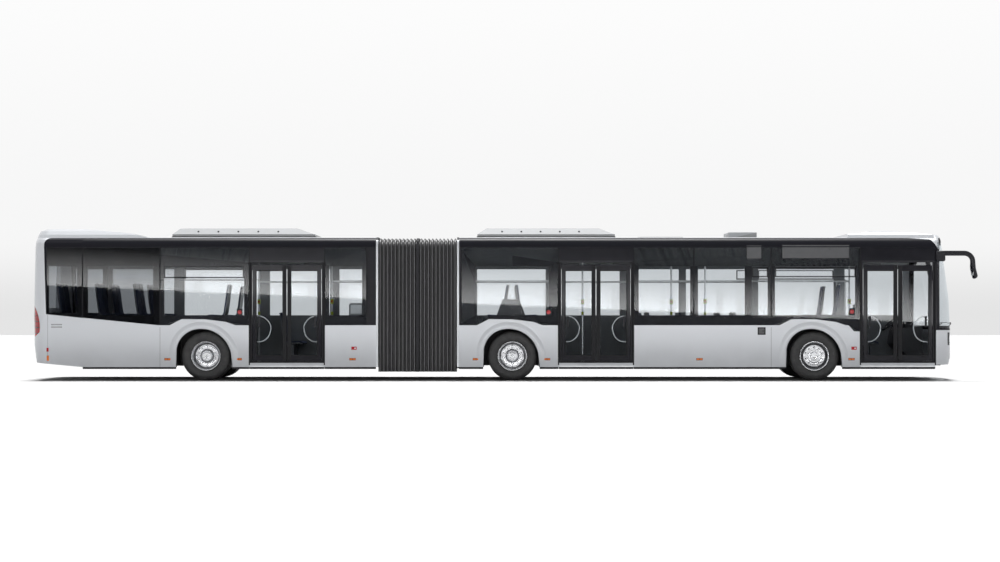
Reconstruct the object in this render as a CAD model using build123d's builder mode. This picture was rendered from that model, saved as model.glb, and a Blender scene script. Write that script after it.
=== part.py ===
import os
from math import atan2, cos, radians, sin, sqrt

from build123d import *

# Articulated city bus, two cars on three axles, in millimetres
# +X is forward, +Y is the left side, +Z is up, and the ground is at Z 0

# Overall lengths
body_length = 18125
body_width = 2550
mirror_reach = 375
front_overhang = 2805
front_wheelbase = 5900
rear_wheelbase = 5990
rear_overhang = body_length - front_overhang - front_wheelbase - rear_wheelbase
pivot_behind_axle = 1851
bellows_length = 1618

# Heights
skirt_z = 265
floor_z = 340
waist_z = 1080
window_z = 1275
window_top_z = 2230
eaves_z = 2600
roof_z = 2800

# Walls, floors and panes
wall = 60
floor_plate = 60
pane = 7.7
pane_seat = 10
pane_gap = 12
fit = 0.3

# Wheels and tyres
tyre_r = 479
tyre_w = 275
tread_w = 200
shoulder_r = 440
rim_r = 286
rim_lip = 24
hub_r = 70
hub_l = 60
spindle_r = 45
wheel_y = 1066
twin_pitch = 312
tyre_facets = 36
disc_facets = 24
kingpin_y = 880
kingpin_r = 18
housing_y = 545
housing_top_z = 1060
housing_half = 600
housing_plate = 20

# Double doors, right side
door_width = 1460
door_sill_z = 345
door_head_z = 2300
leaf_z = 385
leaf_top_z = 2255
leaf_t = 36
leaf_stile = 70
leaf_rail = 110
column_r = 20
column_gap = 32
leaf_gap = 28
tip_gap = 25
meeting_gap = 8
arm_h = 20
arm_w = 24
pin_r = 8
pin_l = 35

# Turntable and bellows
table_r = 690
table_plate = 45
table_gap = 10
bearing_r = 150
bearing_l = 40
frame_t = 40
pleats = 10
pleat_depth = 60
bellows_t = 30
bellows_z = 170

# Derived places
half_width = body_width / 2
inner_y = half_width - wall
rear_x = -(body_length + mirror_reach) / 2
rear_axle_x = rear_x + rear_overhang
middle_axle_x = rear_axle_x + rear_wheelbase
front_axle_x = middle_axle_x + front_wheelbase
front_x = front_axle_x + front_overhang
pivot_x = middle_axle_x - pivot_behind_axle
front_car_x = pivot_x + bellows_length / 2
rear_car_x = pivot_x - bellows_length / 2
front_door_x = front_axle_x + 884
middle_door_x = middle_axle_x + 899
rear_door_x = rear_axle_x + 862
middle_door_end_x = middle_door_x + door_width
rear_door_end_x = rear_door_x + door_width
nose_x = front_door_x + door_width
tail_x = rear_x + 1039
lower_split_x = front_axle_x - 856
upper_split_x = lower_split_x - 1507
rear_split_x = rear_axle_x - 881
overcut = 50
door_y = -(half_width - 25)
link_y = door_y + 5
axle_z = tyre_r

os.makedirs("parts", exist_ok=True)


def keep(piece, name):
    piece.label = name
    export_step(piece, "parts/" + name + ".step")


def side_plane(side, inset=0):
    return Plane.XZ.offset(-side * (half_width - inset))


def block(x0, x1, y0, y1, z0, z1, mode=Mode.ADD):
    with Locations(((x0 + x1) / 2, (y0 + y1) / 2, (z0 + z1) / 2)):
        Box(x1 - x0, y1 - y0, z1 - z0, mode=mode)


def rod(origin, direction, radius, length, mode=Mode.ADD):
    with Locations(Plane(origin, z_dir=direction)):
        Cylinder(radius, length, align=(Align.CENTER, Align.CENTER, Align.MIN), mode=mode)


def window(x0, x1, z0, z1, mode):
    with Locations(((x0 + x1) / 2, (z0 + z1) / 2)):
        Rectangle(x1 - x0, z1 - z0, mode=mode)


# Wheel arch, from the axle: rear foot, rear knee, rear haunch, crown, front haunch, front knee, front foot
arch_rear = ((-569, 0), (-559, 610), (-420, 882), (-170, 1003))
arch_front = ((260, 903), (503, 532), (528, 0))


def arch_outline(axle_x):
    foot, knee, haunch, crown = [(axle_x + x, z) for x, z in arch_rear]
    front_haunch, front_knee, front_foot = [(axle_x + x, z) for x, z in arch_front]
    Line(foot, knee)
    ThreePointArc(knee, haunch, crown)
    ThreePointArc(crown, front_haunch, front_knee)
    Line(front_knee, front_foot)
    Line(front_foot, foot)


# Raised lip of the painted panel over an arch: along from the axle, height over the waist
flare = ((-690, 0), (-594, 50), (-458, 120), (0, 115), (403, 65), (590, 0))


def waist_line(x0, z0, x1, z1, axles):
    points = [(x0, z0)]
    for axle_x in axles:
        points += [(axle_x + x, waist_z + z) for x, z in flare]
    return points + [(x1, z1)]


def band_outline(waist):
    Polyline(*waist, (waist[-1][0], eaves_z), (waist[0][0], eaves_z), close=True)


def side_wall(side, x0, x1, waist, axles, doors, windows):
    with BuildPart() as panel:
        with BuildSketch(side_plane(side)):
            window(x0, x1, skirt_z, eaves_z, Mode.ADD)
            for axle_x in axles:
                with BuildLine():
                    arch_outline(axle_x)
                make_face(mode=Mode.SUBTRACT)
            for door_x in doors:
                window(door_x, door_x + door_width, door_sill_z, door_head_z, Mode.SUBTRACT)
            for w0, w1 in windows:
                window(w0, w1, window_z, window_top_z, Mode.SUBTRACT)
        extrude(amount=side * wall)
        with BuildSketch(side_plane(side)):
            with BuildLine():
                band_outline(waist)
            make_face()
        extrude(amount=side * pane_seat, mode=Mode.SUBTRACT)
    return panel.part


def side_panes(side, waist, spans, head_z=eaves_z):
    with BuildPart() as glass:
        for x0, x1 in spans:
            with BuildSketch(side_plane(side, pane_seat - pane)):
                with BuildLine():
                    band_outline(waist)
                make_face()
                window(x0 + pane_gap, x1 - pane_gap, waist_z / 2, head_z - pane_gap, Mode.INTERSECT)
            extrude(amount=side * pane)
    return glass.part


# Side windows of the front car: rear edge, front edge
front_windows_right = ((front_car_x + 323, middle_door_x - 195), (middle_door_end_x + 102, upper_split_x - 69),
                       (upper_split_x + 80, lower_split_x - 511), (lower_split_x - 375, lower_split_x - 63),
                       (lower_split_x + 74, front_door_x - 97))
front_windows_left = ((front_car_x + 323, middle_door_x - 195), (middle_door_x + 111, middle_door_end_x - 119),
                      (middle_door_end_x + 102, upper_split_x - 69), (upper_split_x + 80, lower_split_x - 104),
                      (lower_split_x + 74, front_door_x - 97), (front_door_x + 126, nose_x - 124))
front_panes_right = ((front_car_x + frame_t, middle_door_x), (middle_door_end_x, upper_split_x),
                     (upper_split_x, lower_split_x), (lower_split_x, front_door_x))
front_panes_left = ((front_car_x + frame_t, middle_door_x), (middle_door_x, middle_door_end_x),
                    *front_panes_right[1:], (front_door_x, nose_x))
cab_waist_z = 960
cab_waist_x = (front_axle_x + 650, front_axle_x + 760)
front_waist = waist_line(front_car_x, waist_z, cab_waist_x[0], waist_z, (middle_axle_x, front_axle_x))
front_waist += [(cab_waist_x[1], cab_waist_z), (nose_x, cab_waist_z)]

# Side windows of the rear car: rear edge, front edge
rear_windows_right = ((tail_x + 97, rear_split_x - 136), (rear_split_x + 78, rear_door_x - 105),
                      (rear_door_end_x + 92, rear_car_x - 273))
rear_windows_left = (*rear_windows_right, (rear_door_x + 108, rear_door_end_x - 102))
rear_panes_right = ((tail_x, rear_split_x), (rear_split_x, rear_door_x), (rear_door_end_x, rear_car_x - 180))
rear_panes_left = (*rear_panes_right, (rear_door_x, rear_door_end_x))
tail_waist_z = 1225
rear_waist = [(tail_x, tail_waist_z), (rear_split_x - 39, waist_z)]
rear_waist += waist_line(rear_axle_x - 700, waist_z, rear_car_x, waist_z, (rear_axle_x,))

keep(side_wall(-1, front_car_x, nose_x, front_waist, (middle_axle_x, front_axle_x),
               (middle_door_x, front_door_x), front_windows_right), "front_wall_right")
keep(side_wall(1, front_car_x, nose_x, front_waist, (middle_axle_x, front_axle_x),
               (), front_windows_left), "front_wall_left")
keep(side_wall(-1, tail_x, rear_car_x, rear_waist, (rear_axle_x,), (rear_door_x,),
               rear_windows_right), "rear_wall_right")
keep(side_wall(1, tail_x, rear_car_x, rear_waist, (rear_axle_x,), (), rear_windows_left), "rear_wall_left")

with BuildPart() as front_windows:
    add(side_panes(-1, front_waist, front_panes_right))
    add(side_panes(1, front_waist, front_panes_left))
keep(front_windows.part, "front_windows")


# Roof section: arched shoulders, flat top, ceiling with sloped ducts
shoulder_y = 1100
ceiling = ((1160, 2450), (900, 2520))


def roof_shoulders():
    TangentArc((half_width, eaves_z), (shoulder_y, roof_z), tangent=(0, 1))
    TangentArc((-half_width, eaves_z), (-shoulder_y, roof_z), tangent=(0, 1))
    Line((-shoulder_y, roof_z), (shoulder_y, roof_z))


def roof_outline():
    roof_shoulders()
    Polyline((half_width, eaves_z), (inner_y, eaves_z), *ceiling, *[(-y, z) for y, z in reversed(ceiling)],
             (-inner_y, eaves_z), (-half_width, eaves_z))


# Rear end sections: height, set-back of the face, corner radius, inset of the sides
tail_rows = ((skirt_z, 70, 230, 0), (700, 10, 270, 0), (1250, 0, 280, 0), (eaves_z, 30, 260, 0),
             (2690, 38, 255, 22), (2750, 46, 250, 66), (2785, 55, 245, 120), (2850, 72, 230, 150),
             (2920, 110, 200, 205), (2965, 215, 150, 300))

# Raised roof caps: side view (along, height), then section (half-width, height)
dome_z = tail_rows[-1][0]
cap_z = 2785
rear_cap_end = tail_x + 1238
rear_cap = (((tail_x, cap_z), (tail_x, dome_z), (tail_x + 341, dome_z - 32), (tail_x + 957, dome_z - 91),
             (rear_cap_end, roof_z), (rear_cap_end, cap_z)),
            [(half_width - inset, z) for z, set_back, corner_r, inset in tail_rows if z >= cap_z])
front_cap_x = front_door_x - 234
front_cap = (((front_cap_x, cap_z), (front_cap_x + 20, roof_z + 70), (front_door_x + 6, roof_z + 76),
              (front_door_x + 246, roof_z + 130), (front_door_x + 686, roof_z + 130), (nose_x, roof_z + 52),
              (nose_x, cap_z)),
             ((1155, cap_z), (1125, roof_z + 50), (1060, roof_z + 100), (960, roof_z + 130)))


def roof_cap(side_view, section):
    with BuildPart() as cap:
        with BuildSketch(Plane.XZ.offset(-half_width)):
            with BuildLine():
                Polyline(*side_view, close=True)
            make_face()
        extrude(amount=body_width)
        with BuildSketch(Plane.YZ.offset(side_view[0][0])):
            with BuildLine():
                Polyline(*section, *[(-y, z) for y, z in reversed(section)], close=True)
            make_face()
        extrude(amount=side_view[-1][0] - side_view[0][0], mode=Mode.INTERSECT)
    return cap.part


def car_roof(x0, x1, cap):
    with BuildPart() as roof:
        with BuildSketch(Plane.YZ.offset(x0)):
            with BuildLine():
                roof_outline()
            make_face()
        extrude(amount=x1 - x0)
        add(roof_cap(*cap))
    return roof.part


keep(car_roof(front_car_x, nose_x, front_cap), "front_roof")
keep(car_roof(tail_x, rear_car_x, rear_cap), "rear_roof")

# Roof cooling units: a straight skirt under a chamfered hood with sunk fans
unit_half = 850
unit_top_half = 740
unit_skirt_z = 2870
unit_top_z = 2992
unit_edge = 14
fan_r = 270
fan_sink = 12
fan_pitch = 640


def roof_unit(x0, x1, top_x0, top_x1):
    with BuildPart() as unit:
        block(x0, x1, -unit_half, unit_half, roof_z, unit_skirt_z)
        with BuildSketch(Plane.XY.offset(unit_skirt_z)):
            window(x0, x1, -unit_half, unit_half, Mode.ADD)
        with BuildSketch(Plane.XY.offset(unit_top_z)):
            window(top_x0, top_x1, -unit_top_half, unit_top_half, Mode.ADD)
        loft(ruled=True)
        chamfer(unit.faces().sort_by(Axis.Z)[-1].edges(), unit_edge)
        with BuildSketch(Plane(((top_x0 + top_x1) / 2, 0, unit_top_z))):
            with GridLocations(fan_pitch, fan_pitch, 3, 1):
                RegularPolygon(fan_r, disc_facets)
        extrude(amount=-fan_sink, mode=Mode.SUBTRACT)
    return unit.part


hatch_half = 420
with BuildPart() as front_roof_unit:
    add(roof_unit(middle_axle_x - 690, middle_axle_x + 2022, middle_axle_x - 511, middle_axle_x + 1712))
    block(lower_split_x - 734, lower_split_x - 171, -hatch_half, hatch_half, roof_z, roof_z + 125)
    block(upper_split_x - 1031, upper_split_x - 134, -hatch_half, hatch_half, roof_z, roof_z + 35)
keep(front_roof_unit.part, "front_roof_unit")
keep(roof_unit(rear_axle_x - 709, rear_axle_x + 2103, rear_axle_x - 562, rear_axle_x + 1742), "rear_roof_unit")


# Rounded ends in plan: a wide front arc, corner arcs tangent to it, and straight sides
def end_outline(toward, tip, back, crown_r, row, grow=0):
    set_back, corner_r, inset = row
    half = half_width - inset + grow
    face = toward * tip - set_back + grow
    big_r = crown_r + grow
    small_r = corner_r + grow
    mid = face - big_r
    corner_x = mid + sqrt((big_r - small_r) ** 2 - (half - small_r) ** 2)
    corner_y = half - small_r
    turn = atan2(corner_y, corner_x - mid)
    halfway = (turn + radians(90)) / 2
    meet = (mid + big_r * cos(turn), big_r * sin(turn))
    bulge = (corner_x + small_r * cos(halfway), corner_y + small_r * sin(halfway))
    rear = toward * back - (grow if grow > 0 else 0)
    left = [(toward * x, y) for x, y in ((rear, half), (corner_x, half), bulge, meet)]
    right = [(x, -y) for x, y in left]
    Line(right[0], right[1])
    ThreePointArc(right[1], right[2], right[3])
    ThreePointArc(right[3], (toward * face, 0), left[3])
    ThreePointArc(left[3], left[2], left[1])
    Polyline(left[1], left[0], right[0])


# Nose sections: height, set-back of the face, corner radius, inset of the sides
nose_rows = ((310, 35, 300, 0), (450, 0, 330, 0), (1080, 0, 330, 0), (1600, 25, 310, 0), (2050, 85, 245, 0),
             (eaves_z, 160, 150, 0), (2740, 184, 130, 58), (2800, 205, 110, 130), (2848, 255, 90, 190))
nose_top_z = nose_rows[-1][0]
nose_crown_r = 4500
nose_lining = 70
bumper_z = 640
screen_z = 1020
screen_top_z = 2700
screen_back_x = nose_x + 40
screen_frame = 45
lamp_z = (690, 940)
lamp_y = (720, 1175)
lamp_depth = 40
lining_side = 40
lining_corner = (130, 220)
lining_half = 500


def end_form(toward, tip, back, crown_r, rows, grow=0):
    with BuildPart() as form:
        for z, *row in rows:
            with BuildSketch(Plane.XY.offset(z)):
                with BuildLine():
                    end_outline(toward, tip, back, crown_r, row, grow)
                make_face()
        loft(ruled=True)
    return form.part


def nose_form(grow=0, back=nose_x):
    return end_form(1, front_x, back, nose_crown_r, nose_rows, grow)


def nose_skin(grow, depth, x0, y0, y1, z0, z1):
    with BuildPart() as skin:
        add(nose_form(grow))
        add(nose_form(-depth, nose_x - overcut), mode=Mode.SUBTRACT)
        block(x0, front_x + overcut, y0, y1, z0, z1, Mode.INTERSECT)
    return skin.part


def nose_shell(z0, z1):
    with BuildPart() as shell:
        add(nose_form())
        for z, set_back, corner_r, inset in (nose_rows[0], nose_rows[2], nose_rows[5]):
            face = front_x - set_back - nose_lining
            left = ((face, lining_half), (face - lining_corner[0], inner_y - lining_corner[1]),
                    (nose_x + lining_side, inner_y), (nose_x - overcut, inner_y))
            with BuildSketch(Plane.XY.offset(min(z, eaves_z))):
                with BuildLine():
                    Polyline(*left, *[(x, -y) for x, y in reversed(left)], close=True)
                make_face()
        loft(ruled=True, mode=Mode.SUBTRACT)
        block(nose_x, front_x, -half_width, half_width, z0, z1, Mode.INTERSECT)
    return shell.part


# Tow socket: a blind bore on the centre line, in a boss behind the bumper's face
tow_z = 545
tow_r = 20
tow_depth = 160
tow_boss_r = 45
with BuildPart() as bumper:
    add(nose_shell(nose_rows[0][0], bumper_z))
    rod((front_x - nose_lining / 2, 0, tow_z), (-1, 0, 0), tow_boss_r, tow_depth)
    rod((front_x + fit, 0, tow_z), (-1, 0, 0), tow_r, tow_depth + fit, Mode.SUBTRACT)
keep(bumper.part, "front_bumper")

screen_half = half_width - 4
skin_out = 20
with BuildPart() as front_end:
    add(nose_shell(bumper_z, nose_top_z))
    add(nose_skin(skin_out, pane_seat, screen_back_x, -screen_half, screen_half, screen_z, screen_top_z),
        mode=Mode.SUBTRACT)
    for side in (-1, 1):
        y0, y1 = sorted((side * lamp_y[0], side * lamp_y[1]))
        add(nose_skin(skin_out, lamp_depth, screen_back_x, y0, y1, *lamp_z), mode=Mode.SUBTRACT)
    block(screen_back_x + screen_frame, front_x, -half_width, half_width, screen_z + screen_frame,
          screen_top_z - screen_frame, Mode.SUBTRACT)
keep(front_end.part, "front_end")

sign_z = 2390
with BuildPart() as windscreen:
    for z0, z1 in ((screen_z + fit, sign_z), (sign_z + pane_gap, screen_top_z - fit)):
        add(nose_skin(pane - pane_seat, pane_seat - fit, screen_back_x + fit, fit - screen_half,
                      screen_half - fit, z0, z1))
keep(windscreen.part, "windscreen")

with BuildPart() as headlamps:
    for side in (-1, 1):
        y0, y1 = sorted((side * (lamp_y[0] + fit), side * (lamp_y[1] - fit)))
        add(nose_skin(-2, lamp_depth - fit, screen_back_x + fit, y0, y1, lamp_z[0] + fit, lamp_z[1] - fit))
keep(headlamps.part, "headlamps")

# Rear end: hollow shell with a wide window, side panes, corner lamps and engine louvres
tail_crown_r = 14000
tail_lining = 60
tail_corner = 250
rear_window_half = 880
rear_window_z = (1420, 2330)
tail_rise_z = 360
tail_pane_x = rear_x + 330
tail_pane_rise = 70
tail_window = (rear_x + 370, tail_x - 107)
tail_window_depth = 100
tail_lamp_y = 1020
tail_lamp_z = (835, 1475)
tail_lamp_x = (62, 168, 196)
tail_lamp_rise = 110
louvres = 6
louvre_z = 700
louvre_pitch = 62
louvre_h = 30
louvre_half = 640
louvre_x = rear_x + 85


def tail_form(grow=0, back=tail_x):
    return end_form(-1, rear_x, back, tail_crown_r, tail_rows, grow)


def tail_lamp_outline(inset):
    low = tail_lamp_z[0] + inset
    high = tail_lamp_z[1] - inset
    top, bulge, foot = [rear_x + x - inset for x in tail_lamp_x]
    waist = (foot, low + tail_lamp_rise)
    Polyline((top, high), (rear_x - overcut, high), (rear_x - overcut, low), (top, low), waist)
    ThreePointArc(waist, (bulge, (low + high) / 2 + tail_lamp_rise), (top, high))


def tail_pane_outline(gap, drop):
    foot = tail_waist_z + drop
    Polyline((tail_pane_x + gap, foot + tail_pane_rise), (tail_x - gap, foot), (tail_x - gap, eaves_z - gap),
             (tail_pane_x + gap, eaves_z - gap), close=True)


with BuildPart() as rear_end:
    add(tail_form())
    for z in (skirt_z, eaves_z):
        with BuildSketch(Plane.XY.offset(z)):
            with BuildLine():
                face = rear_x + tail_rows[0][1] + tail_lining
                left = ((tail_x + overcut, inner_y), (face + tail_corner, inner_y),
                        (face, inner_y - tail_corner))
                Polyline(*left, *[(x, -y) for x, y in reversed(left)], close=True)
            make_face()
    loft(ruled=True, mode=Mode.SUBTRACT)
    block(rear_x, face + overcut, -rear_window_half, rear_window_half, *rear_window_z, Mode.SUBTRACT)
    with BuildSketch(Plane.XZ.offset(-half_width)):
        with BuildLine():
            Polyline((tail_x, skirt_z - overcut), (tail_x, skirt_z), (rear_x, tail_rise_z),
                     (rear_x, skirt_z - overcut), close=True)
        make_face()
    extrude(amount=body_width, mode=Mode.SUBTRACT)
    for side in (-1, 1):
        with BuildSketch(side_plane(side)):
            with BuildLine():
                tail_pane_outline(0, 0)
            make_face()
        extrude(amount=side * pane_seat, mode=Mode.SUBTRACT)
        y0, y1 = sorted((side * (half_width - tail_window_depth), side * half_width))
        block(*tail_window, y0, y1, window_z + overcut, window_top_z, Mode.SUBTRACT)
        with BuildSketch(side_plane(side)):
            with BuildLine():
                tail_lamp_outline(0)
            make_face()
        extrude(amount=side * (half_width - tail_lamp_y), mode=Mode.SUBTRACT)
    for row in range(louvres):
        z = louvre_z + louvre_pitch * row
        block(rear_x, louvre_x, -louvre_half, louvre_half, z, z + louvre_h, Mode.SUBTRACT)
keep(rear_end.part, "rear_end")


def rear_screen():
    with BuildPart() as glass:
        add(tail_form(pane - pane_seat - fit))
        add(tail_form(-pane_seat - fit, tail_x + overcut), mode=Mode.SUBTRACT)
        block(rear_x, face, fit - rear_window_half, rear_window_half - fit, rear_window_z[0] + fit,
              rear_window_z[1] - fit, Mode.INTERSECT)
    return glass.part


with BuildPart() as rear_windows:
    add(side_panes(-1, rear_waist, rear_panes_right))
    add(side_panes(1, rear_waist, rear_panes_left))
    add(rear_screen())
    for side in (-1, 1):
        with BuildSketch(side_plane(side, pane_seat - pane)):
            with BuildLine():
                tail_pane_outline(pane_gap, pane_gap)
            make_face()
        extrude(amount=side * pane)
keep(rear_windows.part, "rear_windows")


def tail_lamp(side):
    with BuildPart() as lamp:
        add(tail_form(-2))
        with BuildSketch(side_plane(side)):
            with BuildLine():
                tail_lamp_outline(fit)
            make_face()
        extrude(amount=side * (half_width - tail_lamp_y - fit), mode=Mode.INTERSECT)
    return lamp.part


with BuildPart() as tail_lamps:
    for side in (-1, 1):
        add(tail_lamp(side))
keep(tail_lamps.part, "tail_lamps")


# Floors: an aisle board, side boards between the wheels, and a hollow housing over each wheel
floor_bottom_z = floor_z - floor_plate
cab_floor_length = 250
cab_floor_half = 600


def housing_box(axle_x, side, skin, z0):
    y0, y1 = sorted((side * (housing_y + housing_plate - skin), side * inner_y))
    return axle_x - housing_half - skin, axle_x + housing_half + skin, y0, y1, z0, housing_top_z + skin


def floor_boards(x0, x1, axles):
    ends = [x0]
    for axle_x in axles:
        ends += [axle_x - housing_half - housing_plate - fit, axle_x + housing_half + housing_plate + fit]
    ends.append(x1)
    block(x0, x1, fit - housing_y, housing_y - fit, floor_bottom_z, floor_z)
    for side in (-1, 1):
        y0, y1 = sorted((side * housing_y, side * inner_y))
        for start, end in zip(ends[::2], ends[1::2]):
            block(start, end, y0, y1, floor_bottom_z, floor_z)
        for axle_x in axles:
            block(*housing_box(axle_x, side, housing_plate, floor_bottom_z))
            block(*housing_box(axle_x, side, 0, 0), Mode.SUBTRACT)


with BuildPart() as front_floor:
    floor_boards(front_car_x, nose_x, (middle_axle_x, front_axle_x))
    block(nose_x + fit, nose_x + cab_floor_length, -cab_floor_half, cab_floor_half, floor_bottom_z, floor_z)
keep(front_floor.part, "front_floor")

deck_x = rear_axle_x - 700
deck_z = 900
deck_end_x = rear_x + 390
with BuildPart() as rear_floor:
    floor_boards(deck_x, rear_car_x, (rear_axle_x,))
    block(deck_x - floor_plate, deck_x - fit, -inner_y, inner_y, floor_bottom_z, deck_z - floor_plate - fit)
    block(deck_end_x, deck_x, -inner_y, inner_y, deck_z - floor_plate, deck_z)
keep(rear_floor.part, "rear_floor")

engine_length = 1500
engine_half = 480
engine_z = 330
engine_x = deck_end_x + 50
with BuildPart() as engine:
    block(engine_x, engine_x + engine_length, -engine_half, engine_half, engine_z, deck_z - floor_plate)
keep(engine.part, "engine")

# Axles: a low beam under the floor, spring seats against the floor, uprights inside the wheel housings
beam_z = (150, 245)
beam_half = 60
upright_y = (570, 606)
upright_half = 130
spring_y = 400
spring_half = 110
stub_overlap = 20
disc_t = 25
rim_half = 115
front_dish = 45
twin_dish = 190


def axle_beam(axle_x):
    block(axle_x - beam_half, axle_x + beam_half, -upright_y[1], upright_y[1], *beam_z)
    for side in (-1, 1):
        block(axle_x - spring_half, axle_x + spring_half, side * spring_y - spring_half,
              side * spring_y + spring_half, beam_z[1], floor_bottom_z)


def spindle(axle_x, side, y0, dish):
    length = wheel_y + rim_half - dish + stub_overlap - y0
    rod((axle_x, side * y0, axle_z), (0, side, 0), spindle_r, length)


def twin_axle(axle_x):
    with BuildPart() as axle:
        axle_beam(axle_x)
        for side in (-1, 1):
            y0, y1 = sorted((side * upright_y[0], side * upright_y[1]))
            block(axle_x - upright_half, axle_x + upright_half, y0, y1, beam_z[0], axle_z + upright_half)
            spindle(axle_x, side, upright_y[0], twin_dish)
    return axle.part


keep(twin_axle(middle_axle_x), "middle_axle")
keep(twin_axle(rear_axle_x), "rear_axle")

# Steered axle: an eye at each kingpin, and a knuckle whose lugs straddle it
eye_r = 42
eye_half = 110
eye_gap = 6
lug_t = 40
cheek_y = (928, 952)
with BuildPart() as front_axle:
    axle_beam(front_axle_x)
    for side in (-1, 1):
        y0, y1 = sorted((side * upright_y[0], side * upright_y[1]))
        block(front_axle_x - beam_half, front_axle_x + beam_half, y0, y1, beam_z[0], axle_z + eye_half)
        y0, y1 = sorted((side * upright_y[0], side * kingpin_y))
        block(front_axle_x - eye_r / 2, front_axle_x + eye_r / 2, y0, y1, axle_z - eye_half, axle_z + eye_half)
        rod((front_axle_x, side * kingpin_y, axle_z - eye_half), (0, 0, 1), eye_r, 2 * eye_half)
        rod((front_axle_x, side * kingpin_y, axle_z - eye_half), (0, 0, 1), kingpin_r + fit, 2 * eye_half,
            Mode.SUBTRACT)
keep(front_axle.part, "front_axle")


def knuckle(side):
    lug_z = eye_half + eye_gap
    with BuildPart() as piece:
        y0, y1 = sorted((side * cheek_y[0], side * cheek_y[1]))
        block(front_axle_x - eye_r, front_axle_x + eye_r, y0, y1, axle_z - lug_z - lug_t,
              axle_z + lug_z + lug_t)
        for z in (axle_z - lug_z - lug_t, axle_z + lug_z):
            rod((front_axle_x, side * kingpin_y, z), (0, 0, 1), eye_r, lug_t)
            y0, y1 = sorted((side * kingpin_y, side * cheek_y[1]))
            block(front_axle_x - eye_r, front_axle_x + eye_r, y0, y1, z, z + lug_t)
        rod((front_axle_x, side * kingpin_y, axle_z - lug_z), (0, 0, 1), kingpin_r, 2 * lug_z)
        spindle(front_axle_x, side, cheek_y[0], front_dish)
    return piece.part


# Wheels and tyres as regular polygons, with a flat on the ground; local Z points outboard
dish_r = 215


def wheel_plane(axle_x, side):
    return Plane((axle_x, side * wheel_y, axle_z), x_dir=(1, 0, 0), z_dir=(0, side, 0))


def disc(radius, facets):
    RegularPolygon(radius, facets, major_radius=False, rotation=180 / facets)


def wheel(axle_x, side, inboard, dish):
    outboard = wheel_plane(axle_x, side)
    floor_of_dish = rim_half - dish
    with BuildPart() as piece:
        with BuildSketch(outboard.offset(-inboard)):
            disc(rim_r, tyre_facets)
        extrude(amount=inboard + rim_half)
        with BuildSketch(outboard.offset(-inboard)):
            disc(rim_r - rim_lip, disc_facets)
        extrude(amount=inboard + floor_of_dish - disc_t, mode=Mode.SUBTRACT)
        with BuildSketch(outboard.offset(floor_of_dish)):
            disc(dish_r, disc_facets)
        with BuildSketch(outboard.offset(rim_half)):
            disc(rim_r - rim_lip, disc_facets)
        loft(ruled=True, mode=Mode.SUBTRACT)
        with BuildSketch(outboard.offset(floor_of_dish)):
            disc(hub_r, disc_facets)
        extrude(amount=hub_l)
        with BuildSketch(outboard.offset(-inboard)):
            Circle(spindle_r + fit)
        extrude(amount=inboard + floor_of_dish + stub_overlap + fit, mode=Mode.SUBTRACT)
    return piece.part


# Tyre section: across from its middle plane, radius
tyre_rows = ((-tyre_w / 2, shoulder_r), (-tread_w / 2, tyre_r), (tread_w / 2, tyre_r), (tyre_w / 2, shoulder_r))


def tyre(axle_x, side, inboard):
    outboard = wheel_plane(axle_x, side)
    with BuildPart() as piece:
        for across, radius in tyre_rows:
            with BuildSketch(outboard.offset(across - inboard)):
                disc(radius, tyre_facets)
        loft(ruled=True)
        with BuildSketch(outboard.offset(-tyre_w / 2 - inboard)):
            disc(rim_r + fit, tyre_facets)
        extrude(amount=tyre_w, mode=Mode.SUBTRACT)
    return piece.part


# Axle, place along X, inboard end of the rim, dish, tyres inboard of the wheel plane
wheel_sets = (("front", front_axle_x, rim_half, front_dish, (0,)),
              ("middle", middle_axle_x, rim_half + twin_pitch, twin_dish, (0, twin_pitch)),
              ("rear", rear_axle_x, rim_half + twin_pitch, twin_dish, (0, twin_pitch)))
for side, hand in ((-1, "right"), (1, "left")):
    keep(knuckle(side), "knuckle_" + hand)
    for place, axle_x, inboard, dish, offsets in wheel_sets:
        keep(wheel(axle_x, side, inboard, dish), "wheel_" + place + "_" + hand)
        with BuildPart() as tyres:
            for offset_in in offsets:
                add(tyre(axle_x, side, offset_in))
        keep(tyres.part, "tyre_" + place + "_" + hand)


# Inward-swinging door: a column turns arms whose tips carry the leaf at its middle
leaf_pane = 6
arm_reach = (door_width / 2 - column_gap - meeting_gap + tip_gap) / 2
arm_levels = ((door_sill_z + 10, 1), (door_head_z - 15 - arm_h, -1))


def door_column(jamb_x, along):
    column_x = jamb_x + along * column_gap
    tip_x = column_x + along * arm_reach
    x0, x1 = sorted((column_x, tip_x))
    with BuildPart() as piece:
        rod((column_x, link_y, door_sill_z + fit), (0, 0, 1), column_r, door_head_z - door_sill_z - 2 * fit)
        for z, toward in arm_levels:
            block(x0, x1, link_y - arm_w / 2, link_y + arm_w / 2, z, z + arm_h)
            rod((tip_x, link_y, z), (0, 0, 1), arm_w / 2, arm_h)
            rod((tip_x, link_y, z + arm_h / 2), (0, 0, toward), pin_r, arm_h / 2 + pin_l)
    return piece.part


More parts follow.
